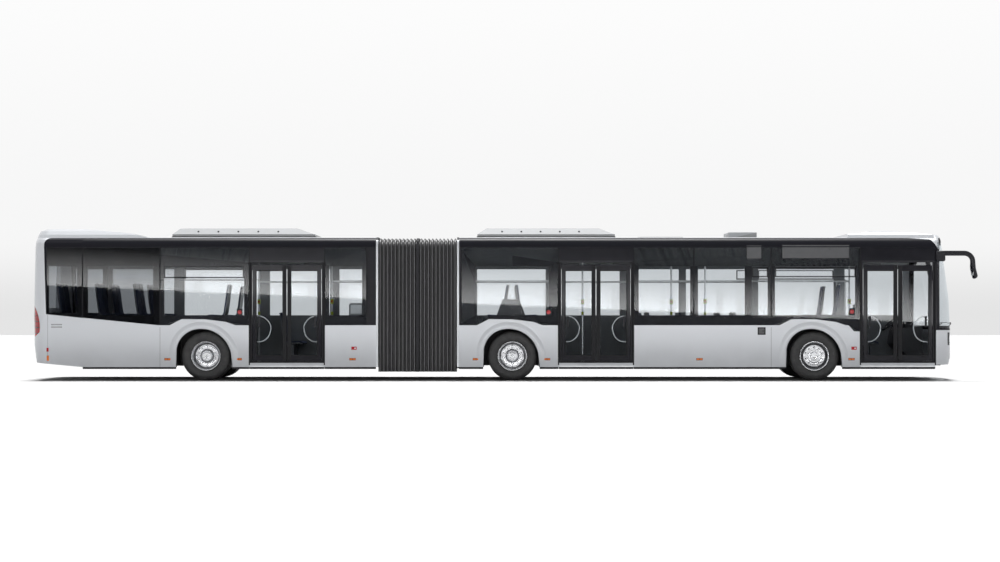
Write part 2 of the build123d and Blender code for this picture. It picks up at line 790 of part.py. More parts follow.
def door_leaf(jamb_x, along):
    column_x = jamb_x + along * column_gap
    x0, x1 = sorted((column_x + along * leaf_gap, column_x + along * (2 * arm_reach - tip_gap)))
    y0 = door_y - leaf_t / 2
    y1 = door_y + leaf_t / 2
    sight = (x0 + leaf_stile, x1 - leaf_stile, leaf_z + leaf_rail, leaf_top_z - leaf_rail)
    with BuildPart() as piece:
        block(x0, x1, y0, y1, leaf_z, leaf_top_z)
        block(sight[0], sight[1], y0, y1, sight[2], sight[3], Mode.SUBTRACT)
        for z, toward in ((leaf_z, 1), (leaf_top_z, -1)):
            rod((column_x + along * arm_reach, link_y, z), (0, 0, toward), pin_r + fit, pin_l, Mode.SUBTRACT)
        block(sight[0] + fit, sight[1] - fit, door_y - leaf_pane, door_y, sight[2] + fit, sight[3] - fit)
    return piece.part


for place, door_x in (("front", front_door_x), ("middle", middle_door_x), ("rear", rear_door_x)):
    for end, jamb_x, along in (("a", door_x, 1), ("b", door_x + door_width, -1)):
        keep(door_column(jamb_x, along), "door_column_" + place + "_" + end)
        keep(door_leaf(jamb_x, along), "door_leaf_" + place + "_" + end)


# Gangway frames with the section of the car, and a turntable whose front plate carries the rear one
table_half = 600
table_seat = 250
boss_r = 120
boss_z = 180
rear_table_z = floor_bottom_z + table_gap
gangway_half = 980
gangway_z = 2400


def joint_frame(x0, x1):
    with BuildPart() as frame:
        with BuildSketch(Plane.YZ.offset(x0)):
            with BuildLine():
                roof_shoulders()
                Polyline((half_width, eaves_z), (half_width, skirt_z), (-half_width, skirt_z),
                         (-half_width, eaves_z))
            make_face()
            window(-gangway_half, gangway_half, skirt_z, gangway_z, Mode.SUBTRACT)
        extrude(amount=x1 - x0)
    return frame.part


with BuildPart() as joint_front:
    rod((pivot_x, 0, floor_bottom_z - table_plate), (0, 0, 1), table_r, table_plate)
    block(pivot_x, front_car_x + table_seat, -table_half, table_half, floor_bottom_z - table_plate,
          floor_bottom_z)
    rod((pivot_x, 0, boss_z), (0, 0, 1), boss_r, floor_bottom_z - table_plate - boss_z)
    rod((pivot_x, 0, floor_bottom_z), (0, 0, -1), bearing_r, bearing_l, Mode.SUBTRACT)
    add(joint_frame(front_car_x - frame_t, front_car_x))
keep(joint_front.part, "joint_front")

with BuildPart() as joint_rear:
    rod((pivot_x, 0, rear_table_z), (0, 0, 1), table_r, table_plate)
    block(rear_car_x, pivot_x, -table_half, table_half, rear_table_z, rear_table_z + table_plate)
    rod((pivot_x, 0, rear_table_z), (0, 0, -1), bearing_r - fit, table_gap + bearing_l - fit)
    add(joint_frame(rear_car_x, rear_car_x + frame_t))
keep(joint_rear.part, "joint_rear")

# Bellows: an arched tunnel, pleated along the bus, with a hoop at the pivot
tunnel_half = 1245
tunnel_z = 2785
tunnel_r = 220
hoop_half = 25
hoop_t = 110
arc_share = 1 - cos(radians(45))


def tunnel_outline(inset, foot_z):
    half = tunnel_half - inset
    top = tunnel_z - inset
    left = ((half, foot_z), (half, top - tunnel_r),
            (half - arc_share * tunnel_r, top - arc_share * tunnel_r), (half - tunnel_r, top))
    Polyline(*left, *[(-y, z) for y, z in reversed(left)], close=True)


def pleated_tunnel(x0, x1, inset, foot_z):
    with BuildPart() as tunnel:
        for step in range(2 * pleats + 1):
            fold = pleat_depth if step % 2 == 0 else 0
            with BuildSketch(Plane.YZ.offset(x0 + (x1 - x0) * step / (2 * pleats))):
                with BuildLine():
                    tunnel_outline(inset + fold, foot_z)
                make_face()
        loft(ruled=True)
    return tunnel.part


bellows_spans = ((rear_car_x + frame_t + fit, pivot_x - hoop_half - fit),
                 (pivot_x + hoop_half + fit, front_car_x - frame_t - fit))
with BuildPart() as bellows:
    for x0, x1 in bellows_spans:
        add(pleated_tunnel(x0, x1, 0, bellows_z))
    for x0, x1 in bellows_spans:
        add(pleated_tunnel(x0, x1, bellows_t, bellows_z - overcut), mode=Mode.SUBTRACT)
keep(bellows.part, "bellows")

hoop_bar_z = (185, 222)
hoop_eye_r = 190
with BuildPart() as hoop:
    with BuildSketch(Plane.YZ.offset(pivot_x - hoop_half)):
        with BuildLine():
            tunnel_outline(0, bellows_z)
        make_face()
    extrude(amount=2 * hoop_half)
    with BuildSketch(Plane.YZ.offset(pivot_x - hoop_half)):
        with BuildLine():
            tunnel_outline(hoop_t, bellows_z)
        make_face()
    extrude(amount=2 * hoop_half, mode=Mode.SUBTRACT)
    bar_half = tunnel_half - hoop_t / 2
    block(pivot_x - hoop_half, pivot_x + hoop_half, -bar_half, bar_half, *hoop_bar_z)
    rod((pivot_x, 0, hoop_bar_z[0]), (0, 0, 1), hoop_eye_r, hoop_bar_z[1] - hoop_bar_z[0])
    rod((pivot_x, 0, hoop_bar_z[0]), (0, 0, 1), boss_r + fit, hoop_bar_z[1] - hoop_bar_z[0], Mode.SUBTRACT)
keep(hoop.part, "joint_hoop")


# Passenger seat from the side, facing forward: along, height over its foot
seat_outline = ((-120, 0), (120, 0), (120, 330), (230, 345), (230, 400), (-150, 395), (-235, 1000),
                (-290, 1000), (-205, 335), (-120, 335))
seat_width = 440
low_foot = 200


def seat(x, y, z, facing, foot_drop):
    outline = [(x + facing * dx, z + max(0, dz - foot_drop)) for dx, dz in seat_outline]
    with BuildPart() as piece:
        with BuildSketch(Plane.XZ.offset(-y - seat_width / 2)):
            with BuildLine():
                Polyline(*outline, close=True)
            make_face()
        extrude(amount=seat_width)
    return piece.part


window_y = 975
aisle_y = 515
housing_seat_z = housing_top_z + housing_plate
# Seat rows: along, side, places across, floor height, facing, how much shorter the foot is
front_seat_rows = ((middle_axle_x - 320, -1, 1, housing_seat_z, -1, low_foot),
                   (middle_axle_x + 310, -1, 1, housing_seat_z, 1, low_foot),
                   (middle_axle_x - 320, 1, 1, housing_seat_z, -1, low_foot),
                   (middle_axle_x + 310, 1, 1, housing_seat_z, 1, low_foot),
                   (front_axle_x - 220, -1, 1, housing_seat_z, -1, low_foot),
                   (front_axle_x + 350, -1, 1, housing_seat_z, 1, low_foot),
                   (front_axle_x - 220, 1, 1, housing_seat_z, -1, low_foot),
                   (front_axle_x + 350, 1, 1, housing_seat_z, 1, low_foot),
                   (upper_split_x - 707, 1, 2, floor_z, 1, 0), (upper_split_x + 93, 1, 2, floor_z, 1, 0),
                   (upper_split_x + 893, 1, 2, floor_z, 1, 0), (upper_split_x - 657, -1, 2, floor_z, 1, 0),
                   (upper_split_x + 1043, -1, 2, floor_z, 1, 0))
rear_seat_rows = ((rear_axle_x - 300, -1, 1, housing_seat_z, -1, low_foot),
                  (rear_axle_x + 270, -1, 1, housing_seat_z, 1, low_foot),
                  (rear_axle_x - 300, 1, 1, housing_seat_z, -1, low_foot),
                  (rear_axle_x + 270, 1, 1, housing_seat_z, 1, low_foot),
                  (deck_x - 480, -1, 2, deck_z, 1, 0), (deck_x - 480, 1, 2, deck_z, 1, 0),
                  (deck_x - 1230, -1, 2, deck_z, 1, 0), (deck_x - 1230, 1, 2, deck_z, 1, 0),
                  (deck_x - 1980, -1, 2, deck_z, 1, 0), (deck_x - 1980, 1, 2, deck_z, 1, 0),
                  (rear_door_x + 658, 1, 2, floor_z, 1, 0), (rear_door_end_x + 98, 1, 2, floor_z, 1, 0))


def seat_group(rows):
    with BuildPart() as group:
        for x, side, places, z, facing, foot_drop in rows:
            for y in (window_y, aisle_y)[:places]:
                add(seat(x, side * y, z, facing, foot_drop))
    return group.part


keep(seat_group(front_seat_rows), "front_seats")
keep(seat_group(rear_seat_rows), "rear_seats")

# Handrails: upright poles from floor to ceiling, with a rail along each row
pole_r = 17
pole_facets = 8
ceiling_z = ceiling[1][1]
rail_z = 1950
pole_y = 560
door_stand = 90


def rail_row(y, poles, feet):
    with BuildPart() as row:
        for x, foot_z in zip(poles, feet):
            with BuildSketch(Plane((x, y, foot_z))):
                disc(pole_r, pole_facets)
            extrude(amount=ceiling_z - foot_z)
        for x, next_x in zip(poles, poles[1:]):
            with BuildSketch(Plane((x + pole_r + fit, y, rail_z), z_dir=(1, 0, 0))):
                disc(pole_r, pole_facets)
            extrude(amount=next_x - x - 2 * (pole_r + fit))
    return row.part


aisle_rail_y = 270
pole_stand = 120
with BuildPart() as front_rails:
    add(rail_row(-pole_y, (front_car_x + pole_stand, middle_door_x - door_stand), (floor_z,) * 2))
    add(rail_row(-pole_y, (middle_door_end_x + door_stand, upper_split_x + 293, front_door_x - door_stand),
                 (floor_z,) * 3))
    add(rail_row(aisle_rail_y, (front_car_x + pole_stand, middle_door_x + 531, upper_split_x - 307,
                                lower_split_x - 214), (floor_z,) * 4))
keep(front_rails.part, "front_rails")

with BuildPart() as rear_rails:
    add(rail_row(-pole_y, (rear_door_x - door_stand,), (floor_z,)))
    add(rail_row(-pole_y, (rear_door_end_x + door_stand, rear_car_x - pole_stand), (floor_z,) * 2))
    add(rail_row(aisle_rail_y, (rear_door_x, rear_car_x - pole_stand), (floor_z,) * 2))
keep(rear_rails.part, "rear_rails")

# Driver's place on the left: desk under the windscreen, wheel on its column, seat, screen behind
desk_outline = ((nose_x - 464, 700), (nose_x - 414, 1010), (nose_x + 66, 1060), (nose_x + 66, floor_z),
                (nose_x - 164, floor_z))
desk_y = (180, 1180)
screen_x = front_door_x - 60
screen_y = (140, 1200)
screen_height_z = 2000
screen_t = 30
driver_x = front_door_x + 466
driver_y = 660
steering_r = 235
steering_tube_r = 18
steering_spoke = 50
steering_hub_r = 35
steering_root = Vector(nose_x - 354, driver_y, 960)
steering_length = 200
column_tilt = Vector(-0.62, 0, 0.78).normalized()
with BuildPart() as driver_place:
    with BuildSketch(Plane.XZ.offset(-desk_y[1])):
        with BuildLine():
            Polyline(*desk_outline, close=True)
        make_face()
    extrude(amount=desk_y[1] - desk_y[0])
    rod(steering_root, column_tilt, steering_hub_r, steering_length)
    ring_r = steering_r - 2 * steering_tube_r
    ring_root = steering_root + column_tilt * (steering_length - steering_tube_r)
    with BuildSketch(Plane(ring_root, z_dir=column_tilt)):
        disc(steering_r, disc_facets)
        RegularPolygon(ring_r, disc_facets, major_radius=False, mode=Mode.SUBTRACT)
        Rectangle(2 * ring_r + steering_tube_r, steering_spoke)
    extrude(amount=2 * steering_tube_r)
    block(screen_x, screen_x + screen_t, *screen_y, floor_z, screen_height_z)
    add(seat(driver_x, driver_y, floor_z, 1, 0))
keep(driver_place.part, "driver_place")

# Mirrors: a horn-shaped arm reaching forward from each top corner and bending down to its head
mirror_root_x = nose_x + 2
mirror_root_z = 2320
mirror_foot_w = 184
mirror_top_z = 2535
mirror_arm = 70
mirror_arm_h = 102
mirror_head_w = 220
mirror_head_t = 112
mirror_foot_z = 1985
mirror_elbow = 200
mirror_bend = 70
# Side of the body, reach ahead of the front
mirror_sides = ((-1, mirror_reach), (1, 70))


def mirror_arm_outline(tip_x):
    elbow = (tip_x, mirror_top_z - mirror_elbow)
    shoulder = (tip_x - mirror_elbow, mirror_top_z)
    arc = mirror_elbow * arc_share
    inner_x = tip_x - mirror_head_t
    under_z = mirror_top_z - mirror_arm_h
    foot_x = mirror_root_x + mirror_foot_w
    crook = mirror_bend * arc_share
    Polyline((inner_x - mirror_bend, under_z), (foot_x, under_z), (foot_x, mirror_root_z),
             (mirror_root_x, mirror_root_z), (mirror_root_x, mirror_top_z), shoulder)
    ThreePointArc(shoulder, (tip_x - arc, mirror_top_z - arc), elbow)
    Line(elbow, (inner_x, elbow[1]))
    Line((inner_x, elbow[1]), (inner_x, under_z - mirror_bend))
    ThreePointArc((inner_x, under_z - mirror_bend), (inner_x - crook, under_z - crook),
                  (inner_x - mirror_bend, under_z))


def mirror_head_outline(tip_x):
    top = mirror_top_z - mirror_elbow
    inner_x = tip_x - mirror_head_t
    round_z = mirror_foot_z + mirror_head_t / 2
    Polyline((inner_x, round_z), (inner_x, top), (tip_x, top), (tip_x, round_z))
    ThreePointArc((tip_x, round_z), (tip_x - mirror_head_t / 2, mirror_foot_z), (inner_x, round_z))


def mirror_pair():
    with BuildPart() as pair:
        for side, reach in mirror_sides:
            with BuildSketch(side_plane(side, -mirror_arm)):
                with BuildLine():
                    mirror_arm_outline(front_x + reach)
                make_face()
            extrude(amount=side * (mirror_arm - fit))
            with BuildSketch(side_plane(side, -mirror_arm)):
                with BuildLine():
                    mirror_head_outline(front_x + reach)
                make_face()
            extrude(amount=side * mirror_head_w)
    return pair.part


keep(mirror_pair(), "mirrors")
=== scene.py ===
import math

import bpy
from mathutils import Matrix, Vector


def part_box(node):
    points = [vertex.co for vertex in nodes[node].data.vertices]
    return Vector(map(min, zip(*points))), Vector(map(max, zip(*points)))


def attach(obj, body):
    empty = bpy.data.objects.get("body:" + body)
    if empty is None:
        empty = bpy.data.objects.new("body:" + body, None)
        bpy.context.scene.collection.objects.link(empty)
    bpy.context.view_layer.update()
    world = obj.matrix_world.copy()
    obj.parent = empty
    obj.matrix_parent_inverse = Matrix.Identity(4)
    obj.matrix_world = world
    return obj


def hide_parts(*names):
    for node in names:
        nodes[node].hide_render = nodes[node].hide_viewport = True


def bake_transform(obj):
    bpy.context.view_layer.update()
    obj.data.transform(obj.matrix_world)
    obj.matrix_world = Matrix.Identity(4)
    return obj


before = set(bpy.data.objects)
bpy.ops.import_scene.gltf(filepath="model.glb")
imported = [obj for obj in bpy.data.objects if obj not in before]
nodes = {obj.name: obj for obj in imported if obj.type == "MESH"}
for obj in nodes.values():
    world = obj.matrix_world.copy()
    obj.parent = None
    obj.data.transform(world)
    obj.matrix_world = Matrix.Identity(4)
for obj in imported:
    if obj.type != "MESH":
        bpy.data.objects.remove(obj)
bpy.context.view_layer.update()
print("frame loaded:", len(nodes), "nodes")


class Wire:  # a shader socket; sums on it add Math nodes
    def __init__(self, tree, socket=None):
        self.tree = tree
        self.socket = socket

    def feed(self, socket, value):  # a link for a wire, else a plain value
        if isinstance(value, Wire):
            self.tree.links.new(value.socket, socket)
        else:
            socket.default_value = value

    def node(self, kind, settings=None, sockets=None, out=0):  # any node: settings first, then its sockets
        made = self.tree.nodes.new("ShaderNode" + kind)
        for name, value in (settings or {}).items():
            setattr(made, name, value)
        for name, value in (sockets or {}).items():
            self.feed(made.inputs[name], value)
        return Wire(self.tree, made.outputs[out])

    def maths(self, operation, first, second=0.0):
        return self.node("Math", {"operation": operation}, {0: first, 1: second})

    def __add__(self, other):
        return self.maths("ADD", self, other)

    def __sub__(self, other):
        return self.maths("SUBTRACT", self, other)

    def __rsub__(self, other):
        return self.maths("SUBTRACT", other, self)

    def __mul__(self, other):
        return self.maths("MULTIPLY", self, other)

    __radd__ = __add__
    __rmul__ = __mul__

    def over(self, other):  # 1 where this wire is the larger
        return self.maths("GREATER_THAN", self, other)

    def most(self, other):
        return self.maths("MAXIMUM", self, other)

    def mix(self, low, high):  # this wire blends two colours
        return self.node("Mix", {"data_type": "RGBA"}, {0: self, 6: low, 7: high}, out=2)

    def blend(self, low, high):  # this wire blends two values
        return self.node("Mix", {"data_type": "FLOAT"}, {0: self, 2: low, 3: high})

    def ramp(self, low, high):  # 0 below low, 1 above high
        return self.node("MapRange", {"interpolation_type": "SMOOTHSTEP"}, {0: self, 1: low, 2: high})

    def place(self):  # where a point is on its piece, in metres
        return self.node("TexCoord", out=3)

    def along(self, axis):
        return self.node("SeparateXYZ", sockets={0: self.place()}, out="XYZ".index(axis))

    def noise(self, scale, detail=3.0, stretch=(1, 1, 1)):
        spread = self.node("Mapping", sockets={"Vector": self.place(), "Scale": stretch})
        return self.node("TexNoise", sockets={"Vector": spread, "Scale": scale, "Detail": detail})

    def bump(self, height, depth, strength):
        return self.node("Bump", sockets={"Height": height, "Strength": strength, "Distance": depth})

    def ownShader(self):  # what the material's own shader gives
        return Wire(self.tree, self.tree.nodes["Principled BSDF"].outputs[0])

    def show(self, share, first, second):  # the surface is first where share is 0, second where it is 1
        mixed = self.node("MixShader", sockets={0: share, 1: first, 2: second})
        self.feed(self.tree.nodes["Material Output"].inputs[0], mixed)


def makeFinish(name, fixed):
    material = bpy.data.materials.new(name)
    material.use_nodes = True
    sockets = material.node_tree.nodes["Principled BSDF"].inputs
    for label, value in fixed.items():
        sockets[label].default_value = value
    return material, Wire(material.node_tree), sockets


def shade(colour, amount=1.0):
    return (*[min(1, c * amount) for c in colour], 1)


# Finishes: colour, its wander, roughness from and to, grain per metre, grain depth (m), metal, coat, gloss
plainFinishes = {
    "unitPaint": ((.52, .535, .55), .05, (.38, .52), 300, .0002, 0, .2),
    # painted shade: the roof units' feet are darker than their tops
    "unitShadedSkirt": ((.36, .365, .37), .04, (.35, .5), 300, .0002, 0, .2),
    "framePaint": ((.52, .54, .56), .06, (.25, .4), 240, .0001, .6, .3),
    "blackGloss": ((.011, .011, .016), .3, (.12, .22), 160, .0001, 0, .1, .22),
    "blackTrim": ((.018, .018, .022), .35, (.42, .62), 700, .0003, 0, 0, .25),
    "rubberSeal": ((.013, .013, .015), .3, (.55, .75), 500, .0004, 0, 0, .2),
    "bandPrint": ((.010, .010, .014), .3, (.3, .45), 400, .0001, 0, 0, .2),
    "seamShade": ((.09, .09, .095), .2, (.5, .7), 300, .0001, 0, 0),
    "lining": ((.24, .25, .26), .06, (.5, .65), 500, .0001, 0, 0),
    "floorLining": ((.055, .058, .065), .5, (.6, .8), 260, .0003, 0, 0),
    "underbody": ((.035, .035, .037), .4, (.6, .85), 60, .001, 0, 0),
    "axleIron": ((.045, .045, .047), .4, (.45, .7), 130, .0008, .4, 0),
    "engineIron": ((.16, .16, .165), .3, (.5, .75), 90, .0012, .6, 0),
    "cabTrim": ((.05, .05, .055), .2, (.5, .65), 900, .00015, 0, 0),
    # painted highlight: a lighter finish for the bellows' crest flats
    "bellowsCrest": ((.105, .105, .112), .25, (.3, .45), 700, .0002, 0, 0),
    "seatShell": ((.13, .135, .15), .15, (.35, .5), 800, .0001, 0, 0),
    "seatCloth": ((.045, .060, .115), .4, (.78, .95), 900, .0008, 0, 0),
    "satinTube": ((.62, .63, .64), .08, (.25, .4), 400, .0001, 1, 0),
    "clampPlastic": ((.42, .52, .03), .1, (.4, .5), 600, .0002, 0, 0),
    "polished": ((.66, .67, .69), .12, (.14, .28), 120, .0002, 1, 0),
    # painted shade: a darker alloy for the rim wells and barrels
    "dullAlloy": ((.15, .15, .155), .25, (.35, .55), 150, .0003, 1, 0),
    "mirrorGlass": ((.88, .89, .90), .02, (.02, .05), 60, .0001, 1, 0),
    "amberLens": ((.85, .20, .02), .15, (.12, .2), 300, .0005, 0, .8),
    "redLens": ((.50, .012, .018), .25, (.10, .18), 260, .0005, 0, .8),
    "clearLens": ((.78, .80, .82), .06, (.06, .12), 240, .0004, 0, .8),
    "signFace": ((.080, .082, .088), .1, (.25, .35), 500, .0002, 0, .2),
}


def plainFinish(name, colour, wander, rough, grain, depth, metal, coat, gloss=.5):
    material, wire, sockets = makeFinish(name, {
        "Metallic": metal, "Coat Weight": coat, "Coat Roughness": .06, "Specular IOR Level": gloss})
    patch = wire.noise(grain * .02 + 1.5, 5)
    fine = wire.noise(grain, 2)
    wire.feed(sockets["Base Color"], patch.mix(shade(colour, 1 - wander), shade(colour, 1 + wander)))
    wire.feed(sockets["Roughness"], patch * (rough[1] - rough[0]) + rough[0])
    wire.feed(sockets["Normal"], wire.bump(fine, depth, .5))
    return material


# Silver body paint: fine flakes under a clear coat, darker low on the skirt with road dirt and painted shade,
# black where the band runs on
silver = dict(base=(.60, .62, .65), flake=(.68, .70, .735), filmAndShade=(.34, .35, .37), filmAndShadeTop=1.05, skirt=.2,
              flakes=650, metal=.25, rough=.34, coat=.7, peel=45, peelDepth=.0002, black=(.011, .011, .016))
band = dict(top=2.785, tailX=-8.968, tailLean=.029, tailCorner=.13, tailFoot=1.30, tailFall=.105,
            noseX=7.9, noseFall=.07, cornerX=8.33, cornerFall=1.15, frontX=8.49, screenFoot=.985)


def tailBand(wire):  # the band's rounded end on the rear corner
    x, z = wire.along("X"), wire.along("Z")
    behind = band["tailX"] + band["tailCorner"] + (band["top"] - z) * band["tailLean"] - x
    above = z - (band["top"] - band["tailCorner"])
    corner = wire.node("CombineXYZ", sockets={0: behind.most(0.0), 1: above.most(0.0)})
    reach = wire.node("VectorMath", {"operation": "LENGTH"}, {0: corner}, out=1)
    foot = band["tailFoot"] - (x - band["tailX"]) * band["tailFall"]
    return (1 - reach.over(band["tailCorner"])) * z.over(foot)


def roofBand(wire):  # the eaves are black up to a line that falls towards the front
    x, z = wire.along("X"), wire.along("Z")
    fall = (x - band["noseX"]).most(0.0) * band["noseFall"]
    cornerFall = (x - band["cornerX"]).most(0.0) * band["cornerFall"]
    line = x.over(band["frontX"]).blend(band["top"] - (fall + cornerFall), band["top"])
    return 1 - z.over(line)


def noseBand(wire):  # black from the foot of the windscreen upwards
    return wire.along("Z").over(band["screenFoot"])


def silverPaint(name, dark):
    material, wire, sockets = makeFinish(name, {
        "Metallic": silver["metal"], "Coat Weight": silver["coat"], "Coat Roughness": .05})
    flakes = wire.noise(silver["flakes"], 2)
    body = flakes.mix(shade(silver["base"]), shade(silver["flake"]))
    # painted shade: the paint darkens towards the foot of the sides, with road dirt in patches
    low = 1 - wire.along("Z").ramp(silver["skirt"], silver["filmAndShadeTop"])
    filmAndShade = low * (wire.noise(3, 6) * .3 + .4)
    wire.feed(sockets["Base Color"], filmAndShade.mix(body, shade(silver["filmAndShade"])))
    wire.feed(sockets["Roughness"], filmAndShade * .35 + silver["rough"])
    wire.feed(sockets["Normal"], wire.bump(wire.noise(silver["peel"], 2), silver["peelDepth"], .25))
    if dark:
        black = wire.node("BsdfPrincipled", sockets={
            "Base Color": shade(silver["black"]), "Roughness": wire.noise(8, 3) * .1 + .25,
            "Specular IOR Level": .1})
        wire.show(dark(wire), wire.ownShader(), black)
    return material


# Bonded glass: most light passes and takes the tint, a small share meets a dark glossy sheet
glass = dict(body=(.006, .007, .010), ior=1.7, wave=1.3, waveDepth=.0006, dust=.05, dustColour=(.5, .5, .5))
glassKinds = dict(tintedGlass=(.12, (.955, .975, .985)), privateGlass=(.12, (.50, .515, .53)),
                  screenGlass=(.16, (.96, .98, .99)), paneBack=(.04, (.97, .98, .99)),
                  lampGlass=(.16, (.97, .98, 1)))  # share of the sheet, tint


def bondedGlass(name, share, tint):
    material, wire, sockets = makeFinish(name, {
        "IOR": glass["ior"], "Specular IOR Level": 1.0, "Coat Weight": 1.0, "Coat IOR": glass["ior"]})
    dust = wire.noise(2.5, 6).ramp(.45, .75)
    dusty = (dust * glass["dust"]).mix(shade(glass["body"]), shade(glass["dustColour"]))
    wire.feed(sockets["Base Color"], dusty)
    wire.feed(sockets["Roughness"], dust * .05 + .02)
    wire.feed(sockets["Normal"], wire.bump(wire.noise(glass["wave"], 1), glass["waveDepth"], .2))
    clear = wire.node("BsdfTransparent", sockets={"Color": shade(tint)})
    wire.show(dust * .1 * share + share, clear, wire.ownShader())
    return material


# Tail lamp: stacked chambers behind a ribbed red lens
lens = dict(red=(.42, .008, .012), deep=(.075, .003, .006), chamber=.115, rib=190, ribDepth=.001)


def tailLens():
    material, wire, sockets = makeFinish("tailLens", {
        "Coat Weight": .8, "Coat Roughness": .04, "Specular IOR Level": .3})
    step = wire.maths("FRACT", wire.along("Z") * (1 / lens["chamber"]))
    wall = 1 - step.ramp(.04, .14) + step.ramp(.90, .98)
    dim = wire.maths("MINIMUM", wall + wire.noise(14, 3).ramp(.3, .75) * .35, 1.0)
    wire.feed(sockets["Base Color"], dim.mix(shade(lens["red"]), shade(lens["deep"])))
    wire.feed(sockets["Roughness"], wall * .1 + .10)
    wire.feed(sockets["Normal"], wire.bump(wire.noise(lens["rib"], 1, (.2, .2, 1)), lens["ribDepth"], .4))
    return material


# Tyre rubber: grey dust in patches over a fine grain
rubber = dict(dark=(.016, .016, .017), dusty=(.048, .048, .048), grain=320, grainDepth=.0006)


def tyreRubber():
    material, wire, sockets = makeFinish("tyreRubber", {})
    dust = wire.noise(9, 6).ramp(.35, .8)
    wire.feed(sockets["Base Color"], dust.mix(shade(rubber["dark"]), shade(rubber["dusty"])))
    wire.feed(sockets["Roughness"], dust * .25 + .5)
    wire.feed(sockets["Normal"], wire.bump(wire.noise(rubber["grain"], 3), rubber["grainDepth"], .5))
    return material


# Bellows cloth: rubber-coated weave, worn grey in upright streaks, black and made darker still on the flanks as
# painted shade in the folds
coatedCloth = dict(dark=(.006, .006, .007), worn=(.020, .020, .022), weave=1500, threads=90.0,
                   weaveDepth=.0003)


def bellowsCloth():
    material, wire, sockets = makeFinish("bellowsCloth", {"Sheen Weight": .15})
    worn = wire.noise(14, 5, (1, 1, .15)).ramp(.4, .8)
    threads = wire.node("TexWave", {"bands_direction": "Z"}, {
        "Vector": wire.place(), "Scale": coatedCloth["threads"], "Distortion": 1.0})
    weave = threads * .5 + wire.noise(coatedCloth["weave"], 1)
    wire.feed(sockets["Base Color"], worn.mix(shade(coatedCloth["dark"]), shade(coatedCloth["worn"])))
    wire.feed(sockets["Roughness"], worn * .2 + .42)
    wire.feed(sockets["Normal"], wire.bump(weave, coatedCloth["weaveDepth"], .4))
    return material


paintKinds = dict(silverPaint=None, tailPaint=tailBand, roofPaint=roofBand, nosePaint=noseBand)
finishes = {name: plainFinish(name, *values) for name, values in plainFinishes.items()}
finishes |= {name: silverPaint(name, dark) for name, dark in paintKinds.items()}
finishes |= {name: bondedGlass(name, *kind) for name, kind in glassKinds.items()}
finishes |= {"tyreRubber": tyreRubber(), "tailLens": tailLens(), "bellowsCloth": bellowsCloth()}
print("finishes made:", len(finishes))


# Finish of each CAD node, by rules on a face's centre and normal: the last rule takes what is left
bodyHalf = (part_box("front_wall_left")[1].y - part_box("front_wall_right")[0].y) / 2
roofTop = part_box("joint_front")[1].z
leafEdge = (.070, .110)  # a door leaf's frame: stiles, rails
limits = dict(skin=.004, bandDeep=(.008, .012), revealDeep=(.002, .058), revealFoot=.9, paneHalf=.012,
              unitShadedSkirt=.071, privateX=-6.7, domeFoot=2.4, domeX=8.6, dashTop=1.1, frameDeep=.06,
              frameFoot=.3)


def onSide(c, n):
    return abs(c.y) > bodyHalf - limits["skin"]


def inBand(c, n):
    near, far = limits["bandDeep"]
    return bodyHalf - far < abs(c.y) < bodyHalf - near and abs(n.y) > .999


def facesIn(c, n):
    return n.y * c.y < -.3 * abs(c.y)


def revealed(c, n):
    near, far = limits["revealDeep"]
    return bodyHalf - far < abs(c.y) < bodyHalf - near and c.z > limits["revealFoot"] and abs(n.y) < .3


def outward(c, n):
    return n.y * c.y > .5 * abs(c.y) or n.x * c.x > .4 * abs(c.x)


def privatePane(c, n):
    return c.x < limits["privateX"] and outward(c, n)


def unitFoot(c, n):
    return c.z < roofTop + limits["unitShadedSkirt"] and abs(n.z) < .5


def endFrame(c, n):
    return c.z > limits["frameFoot"] and abs(c.y) > bodyHalf - limits["frameDeep"]


def roofDome(c, n):
    return c.z > limits["domeFoot"] and (c.x < limits["domeX"] or n.z > .2)


def paneOf(leaf, facing):  # the glass of a door leaf, on the face that looks this way
    low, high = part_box(leaf)
    middle = (low.y + high.y) / 2
    stile, rail = (edge + .0005 for edge in leafEdge)

    def test(c, n):
        inside = low.x + stile < c.x < high.x - stile and low.z + rail < c.z < high.z - rail
        return inside and abs(c.y - middle) < limits["paneHalf"] and n.y * facing > .5
    return test


def dress(node, *rules):
    piece = nodes[node]
    piece.data.materials.clear()
    for name, test in rules:
        piece.data.materials.append(finishes[name])
    for face in piece.data.polygons:
        face.material_index = next(i for i, (name, test) in enumerate(rules)
                                   if test is None or test(face.center, face.normal))


for car in ("front", "rear"):
    for hand in ("left", "right"):
        dress(f"{car}_wall_{hand}", ("silverPaint", onSide), ("bandPrint", inBand), ("lining", facesIn),
              ("bandPrint", revealed), ("underbody", None))
    dress(f"{car}_roof", ("lining", lambda c, n: n.z < -.2), ("roofPaint", None))
    # the units' feet take the darker finish: painted shade
    dress(f"{car}_roof_unit", ("unitShadedSkirt", unitFoot), ("unitPaint", None))
    dress(f"{car}_windows", ("privateGlass", privatePane), ("tintedGlass", outward), ("paneBack", None))
    dress(f"{car}_floor", ("floorLining", lambda c, n: n.z > .5), ("underbody", None))
    dress(f"{car}_seats", ("seatShell", None))
    dress(f"{car}_rails", ("satinTube", None))
    dress(f"joint_{car}", ("framePaint", endFrame), ("blackTrim", None))
dress("windscreen", ("screenGlass", lambda c, n: n.x > .2 or n.y * c.y > .6), ("paneBack", None))
dress("front_end", ("roofPaint", roofDome), ("blackGloss", lambda c, n: c.z > limits["dashTop"]),
      ("nosePaint", None))
dress("rear_end", ("bandPrint", lambda c, n: inBand(c, n) or revealed(c, n)), ("tailPaint", None))
dress("headlamps", ("lampGlass", lambda c, n: n.x > .3), ("clearLens", lambda c, n: n.y * c.y > .6),
      ("blackTrim", None))
